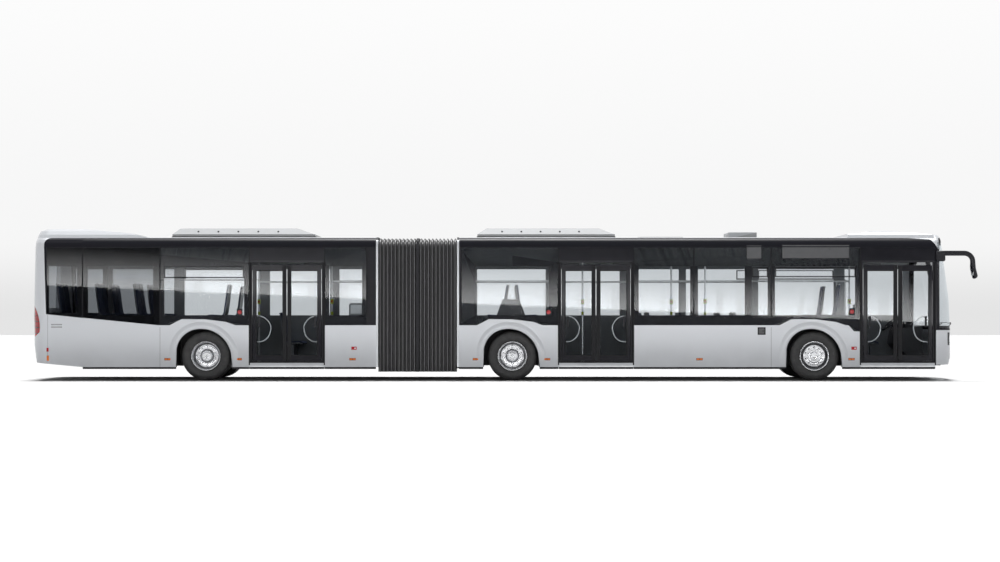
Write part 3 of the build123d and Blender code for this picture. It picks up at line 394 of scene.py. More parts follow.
for place in ("front", "middle", "rear"):
    dress(f"{place}_axle", ("axleIron", None))
    for end in "ab":
        dress(f"door_column_{place}_{end}", ("blackTrim", None))
        leaf = f"door_leaf_{place}_{end}"
        dress(leaf, ("tintedGlass", paneOf(leaf, -1)), ("paneBack", paneOf(leaf, 1)), ("blackGloss", None))
for node, finish in (("front_bumper", "silverPaint"), ("tail_lamps", "tailLens"), ("mirrors", "blackGloss"),
                     ("engine", "engineIron"), ("driver_place", "cabTrim"), ("joint_hoop", "blackTrim"),
                     ("knuckle_left", "axleIron"), ("knuckle_right", "axleIron")):
    dress(node, (finish, None))
print("CAD nodes dressed")


def roundTurns(count, offset=0.0):  # angles spread evenly round a circle
    return [math.tau * (k + offset) / count for k in range(count)]


def ringFaces(rings, count):  # faces between rings of points
    return [(r + s, r + (s + 1) % count, r + count + (s + 1) % count, r + count + s)
            for r in range(0, (rings - 1) * count, count) for s in range(count)]


class Shape:  # points and faces of one piece, with a finish for each face
    def __init__(self):
        self.points = []
        self.faces = []
        self.marks = []

    def add(self, points, faces, mark, place=None):  # mark: a finish, or a list with one for each face
        start = len(self.points)
        self.points += [place @ Vector(p) if place else Vector(p) for p in points]
        self.faces += [[start + i for i in face] for face in faces]
        self.marks += mark if isinstance(mark, list) else [mark] * len(faces)

    def lathe(self, profile, steps, mark, place=None):  # profile: radius, height along Z
        points = [(r * math.cos(turn), r * math.sin(turn), h)
                  for r, h in profile for turn in roundTurns(steps)]
        self.add(points, ringFaces(len(profile), steps), mark, place)

    def slab(self, low, high, mark, bevel=.003, place=None):  # a box with chamfered edges
        low, high = Vector(low), Vector(high)
        bevel = min(bevel, *[(high[k] - low[k]) * .45 for k in range(3)])
        points, index = [], {}
        for corner in range(8):
            signs = [(corner >> k) & 1 for k in range(3)]
            for k in range(3):
                index[corner, k] = len(points)
                points.append([(high if signs[a] else low)[a] + (0 if a == k else bevel) * (1 - 2 * signs[a])
                               for a in range(3)])
        faces = []
        for k in range(3):
            a, b = (k + 1) % 3, (k + 2) % 3
            for top in (0, 1):
                loop = [(top << k) | (p << a) | (q << b) for p, q in ((0, 0), (1, 0), (1, 1), (0, 1))]
                face = [index[corner, k] for corner in loop]
                faces.append(face if top else face[::-1])
            for p in (0, 1):
                for q in (0, 1):
                    near = (p << a) | (q << b)
                    far = near | (1 << k)
                    edge = [index[near, a], index[far, a], index[far, b], index[near, b]]
                    faces.append(edge if p != q else edge[::-1])
        for corner in range(8):
            face = [index[corner, k] for k in range(3)]
            odd = bin(corner).count("1") % 2
            faces.append(face if odd else face[::-1])
        self.add(points, faces, mark, place)

    def tube(self, path, radius, mark, sides=10):  # a round bar along the path, with flat ends
        path = [Vector(p) for p in path]
        points, across = [], None
        for i, p in enumerate(path):
            ahead = (path[min(i + 1, len(path) - 1)] - path[max(i - 1, 0)]).normalized()
            across = ahead.orthogonal() if across is None else across - ahead * across.dot(ahead)
            across.normalize()
            other = ahead.cross(across)
            points += [p + radius * (across * math.cos(turn) + other * math.sin(turn))
                       for turn in roundTurns(sides)]
        ends = [list(range(sides))[::-1], list(range((len(path) - 1) * sides, len(path) * sides))]
        self.add(points, ringFaces(len(path), sides) + ends, mark)

    def build(self, name, body, slot, smooth=35, replaced=()):
        mesh = bpy.data.meshes.new(name)
        mesh.from_pydata([tuple(p) for p in self.points], [], self.faces)
        used = list(dict.fromkeys(self.marks))
        for mark in used:
            mesh.materials.append(finishes[mark])
        mesh.polygons.foreach_set("material_index", [used.index(mark) for mark in self.marks])
        mesh.validate()
        mesh.shade_smooth()
        mesh.set_sharp_from_angle(angle=math.radians(smooth))
        piece = bpy.data.objects.new(name, mesh)
        bpy.context.scene.collection.objects.link(piece)
        if body:
            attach(piece, body)
        if replaced:
            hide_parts(*replaced)
        return piece


# Tyres: a lathed carcass with stepped walls, and tread ribs cut by grooves
tyre = dict(width=.275, tread=.216, beadR=.290, steps=96, ribs=5, groove=.010, depth=.012, edge=.004,
            crown=.010, twin=.312, shoulder=((.022, .008), (.008, -.001)),  # below the tread, past its edge
            wall=((0, .72), (.012, .80), (.040, .93), (.052, .935), (.054, .95), (.085, 1), (.110, .99),
                  (.112, .96), (.145, .93)))  # above the bead, share of the half width


def tyreProfile(radius):
    half, tread, ribs = tyre["width"] / 2, tyre["tread"] / 2, tyre["ribs"]
    wall = [(tyre["beadR"] + rise, half * share) for rise, share in tyre["wall"]]
    wall += [(radius - drop, tread + past) for drop, past in tyre["shoulder"]]
    pitch = 2 * tread / ribs
    crown = []
    for rib in range(ribs):
        start = tread - pitch * rib - (tyre["groove"] / 2 if rib else tyre["edge"])
        end = tread - pitch * (rib + 1) + (tyre["groove"] / 2 if rib + 1 < ribs else tyre["edge"])
        first, last = (radius - tyre["crown"] * (abs(h) / tread) ** 3 for h in (start, end))
        crown += [(first, start), (last, end)]
        if rib + 1 < ribs:
            bottom = last - tyre["depth"]
            crown += [(bottom, end - .001), (bottom, end - tyre["groove"] + .001)]
    return wall + crown + [(r, -h) for r, h in reversed(wall)] + [wall[0]]


# Wheels: rim, dish and hub, lathed; nuts, bolts and vents set round by a loop
wheelDisc = dict(rimR=.2865, lipR=.262, nutR=.168, nuts=10, nut=(.0135, .026), hubR=.072, half=.115, steps=72,
                 dish=.190, boltR=.075, bolts=8, bolt=(.006, .010), ventR=.208, vents=8, vent=.0133)


def spotsRound(count, ring, height, offset=.5):  # angle and place of each of a ring of fittings
    return [(turn, Matrix.Translation((ring * math.cos(turn), ring * math.sin(turn), height)))
            for turn in roundTurns(count, offset)]


def nutRing(shape, count, ring, face, size, tall):
    for turn, place in spotsRound(count, ring, face):
        spot = place @ Matrix.Rotation(turn, 4, "Z")
        shape.lathe([(size * 1.35, 0), (size * 1.35, .004), (size * 1.1, .008)], 12, "polished", spot)
        shape.lathe([(size, .006), (size, tall), (size * .8, tall + .004), (.0005, tall + .005)], 6,
                    "polished", spot)


def rimProfile(inner):  # the rim from its inner edge out to the lip
    rim, lip, half = wheelDisc["rimR"], wheelDisc["lipR"], wheelDisc["half"]
    return [(rim, inner), (rim, half - .006), (rim - .004, half), (lip + .014, half),
            (lip + .006, half - .006), (lip, half - .022)]


def steeredWheel(shape):
    lip, hub, half, steps = (wheelDisc[name] for name in ("lipR", "hubR", "half", "steps"))
    face = half - .030
    shape.lathe(rimProfile(-half) + [(lip - .006, half - .05), (lip - .018, half - .075)], steps, "polished")
    # the rim's well in painted shade
    shape.lathe([(lip - .018, half - .075), (.232, half - .092), (.222, half - .086), (.216, half - .06)],
                steps, "dullAlloy")
    shape.lathe([(.216, half - .06), (.213, face - .006), (.207, face), (.196, face + .002),
                 (.190, face - .001), (.140, face - .001), (.128, face + .008), (.112, face + .012),
                 (hub + .022, face + .012), (hub + .014, face + .008), (hub + .006, face + .010)], steps,
                "polished")
    shape.lathe([(hub + .006, face + .010), (hub, face + .022), (hub - .006, face + .0285),
                 (.045, face + .0295), (.040, face + .027), (.0005, face + .027)], steps, "polished")
    for turn, spot in spotsRound(wheelDisc["nuts"], wheelDisc["nutR"], face - .001):
        shape.lathe([(.024, .0002), (.0235, .003), (.0195, .003), (.0185, -.0005)], 16, "polished", spot)
        # a black disc under each nut: painted shade in its recess
        shape.lathe([(.0195, .0012), (.0005, .0012)], 16, "blackTrim", spot)
        shape.lathe([(.0125, .001), (.0125, .014), (.0095, .018), (.0005, .0185)], 6, "polished", spot)


def twinWheel(shape):
    lip, half, steps = (wheelDisc[name] for name in ("lipR", "half", "steps"))
    face = half - wheelDisc["dish"]
    shape.lathe(rimProfile(-half - tyre["twin"]) + [(lip - .004, half - .06)], steps, "polished")
    # the deep barrel in painted shade
    shape.lathe([(lip - .004, half - .06), (.250, half - .10), (.244, half - .105), (.238, half - .15),
                 (.226, face + .02)], steps, "dullAlloy")
    shape.lathe([(.226, face + .02), (.218, face + .004), (.205, face), (.196, face + .003),
                 (.186, face + .001), (.135, face + .001), (.122, face + .02), (.110, face + .05),
                 (.104, face + .054)], steps, "polished")
    shape.lathe([(.104, face + .054), (.098, face + .048), (.088, face + .048), (.082, face + .06),
                 (.060, face + .064), (.052, face + .060), (.024, face + .060), (.020, face + .056),
                 (.0005, face + .056)], steps, "polished")
    nutRing(shape, wheelDisc["nuts"], wheelDisc["nutR"], face + .001, *wheelDisc["nut"])
    nutRing(shape, wheelDisc["bolts"], wheelDisc["boltR"], face + .058, *wheelDisc["bolt"])
    # each vent is a black disc on the dish: painted shade in place of a hole
    for turn, spot in spotsRound(wheelDisc["vents"], wheelDisc["ventR"], face + .0015, 0):
        shape.lathe([(wheelDisc["vent"], .0006), (.0005, .0006)], 18, "blackTrim", spot)


for place in ("front", "middle", "rear"):
    for hand, side in (("left", 1), ("right", -1)):
        name = f"{place}_{hand}"
        low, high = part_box(f"tyre_{name}")
        outer = (high.y if side > 0 else low.y) - side * tyre["width"] / 2
        centre = ((low.x + high.x) / 2, outer, (low.z + high.z) / 2)
        upright = Matrix.Translation(centre) @ Matrix.Rotation(-side * math.pi / 2, 4, "X")
        carcass, rim = Shape(), Shape()
        for k in range(1 if place == "front" else 2):
            inboard = upright @ Matrix.Translation((0, 0, -k * tyre["twin"]))
            carcass.lathe(tyreProfile((high.z - low.z) / 2), tyre["steps"], "tyreRubber", inboard)
        carcass.build(f"tread_{name}", f"wheel_{name}", "tyre", 40, [f"tyre_{name}"])
        if place == "front":
            steeredWheel(rim)
        else:
            twinWheel(rim)
        rim.points = [upright @ p for p in rim.points]
        rim.build(f"rim_{name}", f"wheel_{name}", "wheel_alloy", 35, [f"wheel_{name}"])
print("wheels built")

# Bellows: a pleated tunnel of coated cloth, in lengths on each side of the hoop
pleat = dict(count=20, crest=.004, depth=.055, flat=.008, thick=.022, foot=.172, cornerR=.22, cornerSteps=6,
             hoopGap=.0005, spread=((0, .5), (.25, .645), (.5, .79), (.7, .905),
                                    (1, 1)))  # way to the frame, share of the turn


def unsmooth(share):  # the way along a blend at which it reaches this share
    return .5 - math.sin(math.asin(1 - 2 * share) / 3)


def bellowsOutline(half, top):  # the tunnel's section: points, each with its outward direction
    radius = pleat["cornerR"]
    outline = [((half, pleat["foot"]), (1, 0)), ((half, top - radius), (1, 0))]
    for k in range(1, pleat["cornerSteps"]):
        turn = math.pi / 2 * k / pleat["cornerSteps"]
        way = (math.cos(turn), math.sin(turn))
        outline.append(((half - radius + radius * way[0], top - radius + radius * way[1]), way))
    outline.append(((half - radius, top), (0, 1)))
    return outline + [((-y, z), (-w, v)) for (y, z), (w, v) in reversed(outline)]


def bellowsRows(edge, frameX, first, last):  # where the pleats' flats begin and end, and how far in they lie
    flat = math.copysign(pleat["flat"], frameX - edge)
    rows = []
    for step in range(first, last + 1):
        x = edge + (frameX - edge) * step / pleat["count"]
        inset = pleat["crest"] if step % 2 else pleat["depth"]
        rows += [(x if step == first else x - flat, inset), (x if step == last else x + flat, inset)]
    return sorted(rows)


def bellowsLength(outline, rows):  # one closed length of cloth
    loops = []
    for deep, ordered in ((0, rows), (pleat["thick"], rows[::-1])):
        loops += [[(x, y - w * (inset + deep), z - v * (inset + deep)) for (y, z), (w, v) in outline]
                  for x, inset in ordered]
    n, m = len(outline), len(loops)
    faces = [(r * n + s, r * n + s + 1, (r + 1) % m * n + s + 1, (r + 1) % m * n + s)
             for r in range(m) for s in range(n - 1)]
    ends = [[r * n for r in range(m)], [r * n + n - 1 for r in range(m)][::-1]]
    # painted highlight on the crest flats; the flanks keep the near-black cloth, painted shade in the folds
    highlightRows = [r + 1 < len(rows) and rows[r][1] == rows[r + 1][1] == pleat["crest"] for r in range(m)]
    marks = ["bellowsCrest" if crest else "bellowsCloth" for crest in highlightRows for s in range(n - 1)]
    shape = Shape()
    shape.add([p for loop in loops for p in loop], faces + ends, marks + ["bellowsCloth"] * 2)
    return shape


def bellowsPiece():
    low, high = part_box("bellows")
    hoop = [v.co.x for v in nodes["joint_hoop"].data.vertices if v.co.z > 1]
    outline = bellowsOutline(high.y, high.z)
    spread = pleat["spread"]
    for hand, edge, frameX in (("rear", min(hoop) - pleat["hoopGap"], low.x),
                               ("front", max(hoop) + pleat["hoopGap"], high.x)):
        for part, ends in enumerate(zip(spread, spread[1:]), 1):
            first, last = (round(way * pleat["count"]) for way, share in ends)
            shape = bellowsLength(outline, bellowsRows(edge, frameX, first, last))
            piece = shape.build(f"bellows_cloth_{hand}_{part}", None, "bellows_rubber", 30, ["bellows"])
            near, far = (edge + (frameX - edge) * way for way, share in ends)
            t0, t1 = (unsmooth(share if hand == "rear" else 1 - share) for way, share in ends)
            reach = (far - near) / (t1 - t0)
            start = near - t0 * reach
            start + reach
            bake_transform(piece)


bellowsPiece()
print("bellows built")

# Places read from the CAD boxes, so that the trim follows the body
hands = {"right": -1, "left": 1}
carAxles = {"rear_car": ("rear",), "front_car": ("middle", "front")}
doorGap = .061  # from a leaf to the edge of its opening
axleX = {place: sum(corner.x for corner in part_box(f"tyre_{place}_right")) / 2
         for place in ("rear", "middle", "front")}
doorX = {place: (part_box(f"door_leaf_{place}_a")[0].x - doorGap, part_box(f"door_leaf_{place}_b")[1].x + doorGap)
         for place in axleX}
carX = {car: [corner.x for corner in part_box(car.replace("_car", "_wall_right"))] for car in carAxles}
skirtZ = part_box("front_wall_right")[0].z
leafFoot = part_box("door_leaf_front_a")[0].z


def sideSlab(shape, side, x0, x1, z0, z1, mark, proud, deep, bevel):  # a plate on the body side
    y0, y1 = sorted((side * (bodyHalf - deep), side * (bodyHalf + proud)))
    shape.slab((x0, y0, z0), (x1, y1, z1), mark, bevel)


def clearRuns(x0, x1, blocks):  # what is left of a run once the blocks are taken out
    runs = []
    for low, high in sorted(blocks):
        if high > x0 and low < x1:
            runs.append((x0, low))
            x0 = high
    return [(a, b) for a, b in runs + [(x0, x1)] if b - a > .02]


def arcThrough(a, b, c, steps):  # points of the arc from a through b to c
    (ax, ay), (bx, by), (cx, cy) = a, b, c
    d = 2 * (ax * (by - cy) + bx * (cy - ay) + cx * (ay - by))
    squares = [px * px + py * py for px, py in (a, b, c)]
    ox = (squares[0] * (by - cy) + squares[1] * (cy - ay) + squares[2] * (ay - by)) / d
    oy = (squares[0] * (cx - bx) + squares[1] * (ax - cx) + squares[2] * (bx - ax)) / d
    first, between, last = (math.atan2(py - oy, px - ox) for px, py in (a, b, c))
    span = (last - first) % math.tau
    if (between - first) % math.tau > span:
        span -= math.tau
    radius = math.hypot(ax - ox, ay - oy)
    turns = [first + span * k / steps for k in range(steps + 1)]
    return [(ox + radius * math.cos(turn), oy + radius * math.sin(turn)) for turn in turns]


def eased(points, steps=5):  # a smooth line through the points
    points, line = [Vector(p) for p in points], []
    for k in range(len(points) - 1):
        a, b, c, d = (points[min(max(k + i, 0), len(points) - 1)] for i in (-1, 0, 1, 2))
        for u in (s / steps for s in range(steps)):
            bend = (a * 2 - b * 5 + c * 4 - d) * u ** 2 + (b * 3 - a - c * 3 + d) * u ** 3
            line.append((b * 2 + (c - a) * u + bend) / 2)
    return line + points[-1:]


# Wheel arches: a black lip round the opening and the painted fender that swells over it
arch = dict(rear=((-.559, .610), (-.420, .882), (-.170, 1.003)),
            front=((-.170, 1.003), (.260, .903), (.503, .532)),  # each an arc through three points
            foot=(-.565, .528, .27), footSteps=6, steps=16, lipR=.011, lipDeep=.006, evenings=8,
            fadeZ=(.33, .68), fadeTo=.35,  # the swell dies out towards the feet
            swell=((0, .005), (.014, .017), (.040, .027), (.070, .026), (.100, .014), (.125, .004),
                   (.135, .0005)))  # away from the opening, proud of the side


def archPath(axle):
    arcs = arcThrough(*arch["rear"], arch["steps"]) + arcThrough(*arch["front"], arch["steps"])[1:]
    behind, ahead, footZ = arch["foot"]
    count = arch["footSteps"]
    feet = [[(x + (endX - x) * k / count, footZ + (endZ - footZ) * k / count) for k in range(count)]
            for x, (endX, endZ) in ((behind, arcs[0]), (ahead, arcs[-1]))]
    return [(axle + x, z) for x, z in feet[0] + arcs + feet[1][::-1]]


def pathNormals(path):  # outward in the side plane, away from the wheel
    ways = []
    last = len(path) - 1
    for k in range(len(path)):
        (ax, az), (bx, bz) = path[max(k - 1, 0)], path[min(k + 1, last)]
        size = math.hypot(bx - ax, bz - az)
        ways.append(Vector((-(bz - az) / size, (bx - ax) / size)))
    for turn in range(arch["evenings"]):  # evened out, so that the swell has no kink
        ways = [(ways[max(k - 1, 0)] + way + ways[min(k + 1, last)]).normalized()
                for k, way in enumerate(ways)]
    return ways


def fenders(car, hand, side):
    lip, fender = Shape(), Shape()
    low, high = arch["fadeZ"]
    for place in carAxles[car]:
        path = archPath(axleX[place])
        lipY = side * (bodyHalf - arch["lipDeep"])
        lip.tube([(x, lipY, z) for x, z in path], arch["lipR"], "rubberSeal", 8)
        points, rows = [], len(arch["swell"])
        for (x, z), (nx, nz) in zip(path, pathNormals(path)):
            share = arch["fadeTo"] + (1 - arch["fadeTo"]) * max(0, min(1, (z - low) / (high - low)))
            points += [(x + nx * off, side * (bodyHalf + proud * share), z + nz * off)
                       for off, proud in arch["swell"]]
        faces = [(k * rows + r, k * rows + r + 1, (k + 1) * rows + r + 1, (k + 1) * rows + r)
                 for k in range(len(path) - 1) for r in range(rows - 1)]
        fender.add(points, faces if side < 0 else [f[::-1] for f in faces], "silverPaint")
    lip.build(f"arch_lips_{car}_{hand}", car, "black_trim", 40)
    fender.build(f"fenders_{car}_{hand}", car, "body_paint", 50)


# Sill strips, panel seams and side lamps
sill = dict(z=(.226, .268), doorZ=(.268, .292), proud=.0015, deep=.05, gap=.002, doorGap=.004, archGap=.004)
panelSeams = dict(x=(-6.701, 5.214), half=.003, top=1.04)
sideLamps = dict(markersX=(-6.554, -5.169, -2.948, -.541, .843, 3.816, 6.779), marker=(.128, .046),
                 markerZ=.418, edge=.005, gap=.003, reflectorsX=(-2.919, 6.828), reflector=(.105, .062),
                 reflectorZ=.632)


def sideTrim(car, hand, side):
    strip, seams, lamps = Shape(), Shape(), Shape()
    x0, x1 = carX[car]
    behind, ahead = arch["foot"][:2]
    wheels = [(axleX[place] + behind - sill["archGap"], axleX[place] + ahead) for place in carAxles[car]]
    doors = [doorX[place] for place in carAxles[car]] if side < 0 else []
    runs = [(a + sill["gap"], b - sill["gap"]) for a, b in clearRuns(x0, x1, wheels + doors)]
    steps = [(a + sill["doorGap"], b - sill["doorGap"]) for a, b in doors]
    for a, b in runs + steps:
        sideSlab(strip, side, a, b, *sill["z"], "blackTrim", sill["proud"], sill["deep"], .004)
    for a, b in steps:
        top = sill["doorZ"][1]
        sideSlab(strip, side, a, b, *sill["doorZ"], "satinTube", .001, .03, .003)
        sideSlab(strip, side, a, b, top + .001, leafFoot - .004, "rubberSeal", -.006, .03, .003)
    for x in panelSeams["x"]:
        if x0 < x < x1:
            half, top = panelSeams["half"], panelSeams["top"]
            sideSlab(seams, side, x - half, x + half, skirtZ + .004, top, "seamShade", .0004, .002, .0002)
    for x in sideLamps["markersX"]:
        if x0 < x < x1:
            w, h = (size / 2 for size in sideLamps["marker"])
            z, edge, gap = sideLamps["markerZ"], sideLamps["edge"], sideLamps["gap"]
            sideSlab(lamps, side, x - w, x + w, z - h, z + h, "blackTrim", .002, .003, .002)
            for a, b in ((x - w + edge, x - gap), (x + gap, x + w - edge)):
                sideSlab(lamps, side, a, b, z - h + edge, z + h - edge, "amberLens", .006, 0, .003)
    for x in sideLamps["reflectorsX"]:
        if x0 < x < x1:
            w, h = (size / 2 for size in sideLamps["reflector"])
            z = sideLamps["reflectorZ"]
            sideSlab(lamps, side, x - w, x + w, z - h, z + h, "redLens", .004, .003, .006)
            # the small clear piece on each red lamp is a painted highlight
            sideSlab(lamps, side, x + .006, x + w - .014, z - .012, z + .012, "clearLens", .007, 0, .004)
    strip.build(f"sill_strips_{car}_{hand}", car, "black_trim")
    seams.build(f"panel_seams_{car}_{hand}", car, "black_trim")
    lamps.build(f"side_lamps_{car}_{hand}", car, "tail_lamp")


for car in carX:
    for hand, side in hands.items():
        fenders(car, hand, side)
        sideTrim(car, hand, side)
print("side trim built")

# Glass band: pane seams, tilting top lights, blank signs and door buttons
paneFace = bodyHalf - .0023
glassBand = dict(splitsX=dict(rear_car=(-8.211, -6.701, -2.670), front_car=(3.707, 5.214)), split=.005,
                 splitZ=(1.24, 2.62), bar=.018, innerBar=.006, inner=.022,
                 topLights=dict(rear_car=((-6.623, -5.063, 1.997, 2.231),),
                                front_car=((5.288, 6.857, 2.016, 2.211), (4.839, 5.151, 2.016, 2.211))),
                 signs=((4.740, 5.019, 2.38, 2.63), (5.432, 6.730, 2.39, 2.64)), signEdge=.012)
buttons = dict(rear_car=((-5.149, 1.334),), front_car=((.874, 1.334), (6.789, 1.344)), plate=(.058, .068),
               profile=((.040, 0), (.040, .003), (.035, .005), (.0005, .006)))


def bandSlab(shape, side, x0, x1, z0, z1, mark, proud, bevel=.0005):  # a plate on the glass
    y0, y1 = sorted((side * (paneFace - .001), side * (paneFace + proud)))
    shape.slab((x0, y0, z0), (x1, y1, z1), mark, bevel)


def frameRuns(x0, x1, z0, z1, bar):  # the four bars of a frame, uprights between the others
    return ((x0, x1, z0, z0 + bar), (x0, x1, z1 - bar, z1),
            (x0, x0 + bar, z0 + bar, z1 - bar), (x1 - bar, x1, z0 + bar, z1 - bar))


def bandFrame(shape, side, x0, x1, z0, z1, bar, mark, proud=.0018):
    for run in frameRuns(x0, x1, z0, z1, bar):
        bandSlab(shape, side, *run, mark, proud)


def glassTrim(car, hand, side):
    lines = Shape()
    for x in glassBand["splitsX"][car]:
        half = glassBand["split"]
        bandSlab(lines, side, x - half, x + half, *glassBand["splitZ"], "rubberSeal", .0016)
    for x0, x1, z0, z1 in glassBand["topLights"][car]:
        inner, bar = glassBand["inner"], glassBand["innerBar"]
        bandFrame(lines, side, x0, x1, z0, z1, glassBand["bar"], "rubberSeal")
        bandFrame(lines, side, x0 + inner, x1 - inner, z0 + inner, z1 - .004, bar, "seamShade", .0012)
    lines.build(f"glass_seams_{car}_{hand}", car, "black_trim")


def doorButtons(car):
    push = Shape()
    w, h = buttons["plate"]
    for x, z in buttons[car]:
        spot = Matrix.Translation((x, -paneFace, z)) @ Matrix.Rotation(math.pi / 2, 4, "X")
        bandSlab(push, -1, x - w, x + w, z - h, z + h, "blackTrim", .0018, .0009)
        push.lathe(buttons["profile"], 24, "redLens", spot)
    push.build(f"door_buttons_{car}", car, "tail_lamp")


def sideSigns():
    board = Shape()
    edge = glassBand["signEdge"]
    for x0, x1, z0, z1 in glassBand["signs"]:
        bandSlab(board, -1, x0, x1, z0, z1, "signFace", .0012)
        bandFrame(board, -1, x0 - edge, x1 + edge, z0 - edge, z1 + edge, edge, "blackTrim")
    board.build("side_signs", "front_car", "black_trim")


# Door openings: the panel over each door with its line, and the seals beside the leaves
doorHeader = dict(z=(2.303, 2.598), gap=.003, lineZ=(2.326, 2.332), lineGap=.02, seal=.016, sealZ=(.30, 2.30))


def doorHeaders(car):
    shape = Shape()
    for a, b in (doorX[place] for place in carAxles[car]):
        gap, lineGap, seal = doorHeader["gap"], doorHeader["lineGap"], doorHeader["seal"]
        sideSlab(shape, -1, a + gap, b - gap, *doorHeader["z"], "blackGloss", .0005, .012, .002)
        sideSlab(shape, -1, a + lineGap, b - lineGap, *doorHeader["lineZ"], "seamShade", .0012, .002, .0005)
        for x in (a, b):
            sideSlab(shape, -1, x - seal, x + seal, *doorHeader["sealZ"], "rubberSeal", .0008, .020, .004)
    shape.build(f"door_headers_{car}", car, "door_frame")


# Filler flap: plate, lid and catch, each with its run, height, finish, how proud, how deep and bevel
fillerFlap = ((4.948, 5.106, .892, 1.042, "blackTrim", .002, .004, .012),
              (4.972, 5.082, .914, 1.020, "seamShade", .003, 0, .010),
              (5.046, 5.064, .955, .980, "blackTrim", .006, 0, .003))

for car in carX:
    for hand, side in hands.items():
        glassTrim(car, hand, side)
    doorButtons(car)
    doorHeaders(car)
sideSigns()
flap = Shape()
for plate in fillerFlap:
    sideSlab(flap, -1, *plate)
flap.build("filler_flap", "front_car", "black_trim")
print("glass trim built")

# Door leaves: finger rubber, glass seal, pad and grab bar, all moving with the leaf
leafTrim = dict(rubber=.078, proud=.0025, ribs=(.018, .052), rib=.004, pad=(.042, .21), padX=.125, padZ=1.15,
                seal=.010, barR=.012, barOff=.055,
                bar=((.085, 1.255), (.17, 1.25), (.27, 1.19), (.335, 1.09), (.345, 1.00), (.30, .86),
                     (.20, .775), (.085, .755)))  # from the hinge, height


def doorTrim(place, end):
    leaf = f"door_leaf_{place}_{end}"
    low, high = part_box(leaf)
    along = 1 if end == "a" else -1  # towards the meeting edge
    hinge, tip = (low.x, high.x) if end == "a" else (high.x, low.x)
    shape = Shape()

    def face(x0, x1, z0, z1, mark, proud, bevel):  # a plate on the outer face
        shape.slab((min(x0, x1), low.y - proud, z0), (max(x0, x1), low.y + .001, z1), mark, bevel)

    face(tip - along * leafTrim["rubber"], tip - along * .001, low.z + .004, high.z - .004, "rubberSeal",
         leafTrim["proud"], .002)
    for x in (tip - along * off for off in leafTrim["ribs"]):
        face(x - leafTrim["rib"], x + leafTrim["rib"], low.z + .01, high.z - .01, "blackTrim", .0045, .001)
    seal = leafTrim["seal"]
    stile, rail = (edge - seal for edge in leafEdge)
    for run in frameRuns(low.x + stile, high.x - stile, low.z + rail, high.z - rail, 2 * seal):
        face(*run, "rubberSeal", .0015, .001)
    padX, padZ = hinge + along * leafTrim["padX"], leafTrim["padZ"]
    w, h = (size / 2 for size in leafTrim["pad"])
    face(padX - w, padX + w, padZ - h, padZ + h, "blackTrim", .0055, .004)
    last = len(leafTrim["bar"]) - 1
    path = [(hinge + along * x, high.y + (leafTrim["barOff"] if 0 < k < last else -.004), z)
            for k, (x, z) in enumerate(leafTrim["bar"])]
    shape.tube(eased(path), leafTrim["barR"], "satinTube", 10)
    shape.build(f"leaf_trim_{place}_{end}", leaf, "door_frame")


for place in doorX:
    for end in "ab":
        doorTrim(place, end)
print("doors trimmed")


def islands(node):  # low corner, high corner and points of each separate solid of a CAD node
    mesh = nodes[node].data
    owner = {}

    def root(key):
        while owner[key] != key:
            owner[key] = owner[owner[key]]
            key = owner[key]
        return key

    keys = [tuple(round(c, 4) for c in v.co) for v in mesh.vertices]
    for key in keys:
        owner.setdefault(key, key)
    for face in mesh.polygons:
        first = root(keys[face.vertices[0]])
        for v in face.vertices[1:]:
            owner[root(keys[v])] = first
    groups = {}
    for key in owner:
        groups.setdefault(root(key), []).append(key)
    return [(Vector(map(min, *group)), Vector(map(max, *group)), group) for group in groups.values()]


# Seats: a moulded shell with rolled edges, a thin pad on back and cushion, a grab loop and a foot
seat = dict(tall=1.0, backX=.290, columns=8, dish=.022, roll=.010, edge=.012, taper=.53, taperFrom=.75,
            shellThick=.022, padInset=.035, padFront=.016, padThick=.020, cushionFoot=.345, loopR=.0072,
            back=((.225, .352), (.150, .372), (.0, .366), (-.090, .364), (-.140, .385), (-.165, .440),
                  (-.190, .600), (-.213, .780), (-.230, .920), (-.238, .985)),  # from the cushion's edge up
            ways=((0, 0, 1),) * 3 + ((.75, 0, .66),) * 2 + ((1, 0, .12),) * 5,  # outward, point by point
            loop=((-.236, .10, .955), (-.232, .095, .985), (-.234, .05, .999), (-.234, -.05, .999),
                  (-.232, -.095, .985), (-.236, -.10, .955)))


def seatSheet(half, inset, front, thick):  # points and faces of a shell, or of the pad on it
    rows, n = len(seat["back"]), seat["columns"] + 1
    outer, inner = [], []
    for k, (x, z) in enumerate(seat["back"]):
        ahead = Vector(seat["ways"][k])
        taper = seat["taper"] * max(0, k / (rows - 1) - seat["taperFrom"])
        width = (half - seat["edge"] - inset) * (1 - taper)
        for c in range(n):
            across = -1 + 2 * c / seat["columns"]
            bowl = seat["dish"] * across * across * (1 if 0 < k < rows - 1 else .6)
            edge = -seat["roll"] if abs(across) == 1 and not inset else 0
            outer.append(Vector((x, across * width, z)) + ahead * (bowl + front + edge))
            inner.append(outer[-1] - ahead * thick)
    count = rows * n
    faces = []
    for a in (k * n + c for k in range(rows - 1) for c in range(n - 1)):
        faces += [(a, a + 1, a + 1 + n, a + n), (count + a, count + a + n, count + a + 1 + n, count + a + 1)]
    ring = list(range(n)) + [k * n + n - 1 for k in range(1, rows)]
    ring += [count - n + c for c in range(n - 2, -1, -1)] + [k * n for k in range(rows - 2, 0, -1)]
    faces += [(b, a, count + a, count + b) for a, b in zip(ring, ring[1:] + ring[:1])]
    return outer + inner, faces


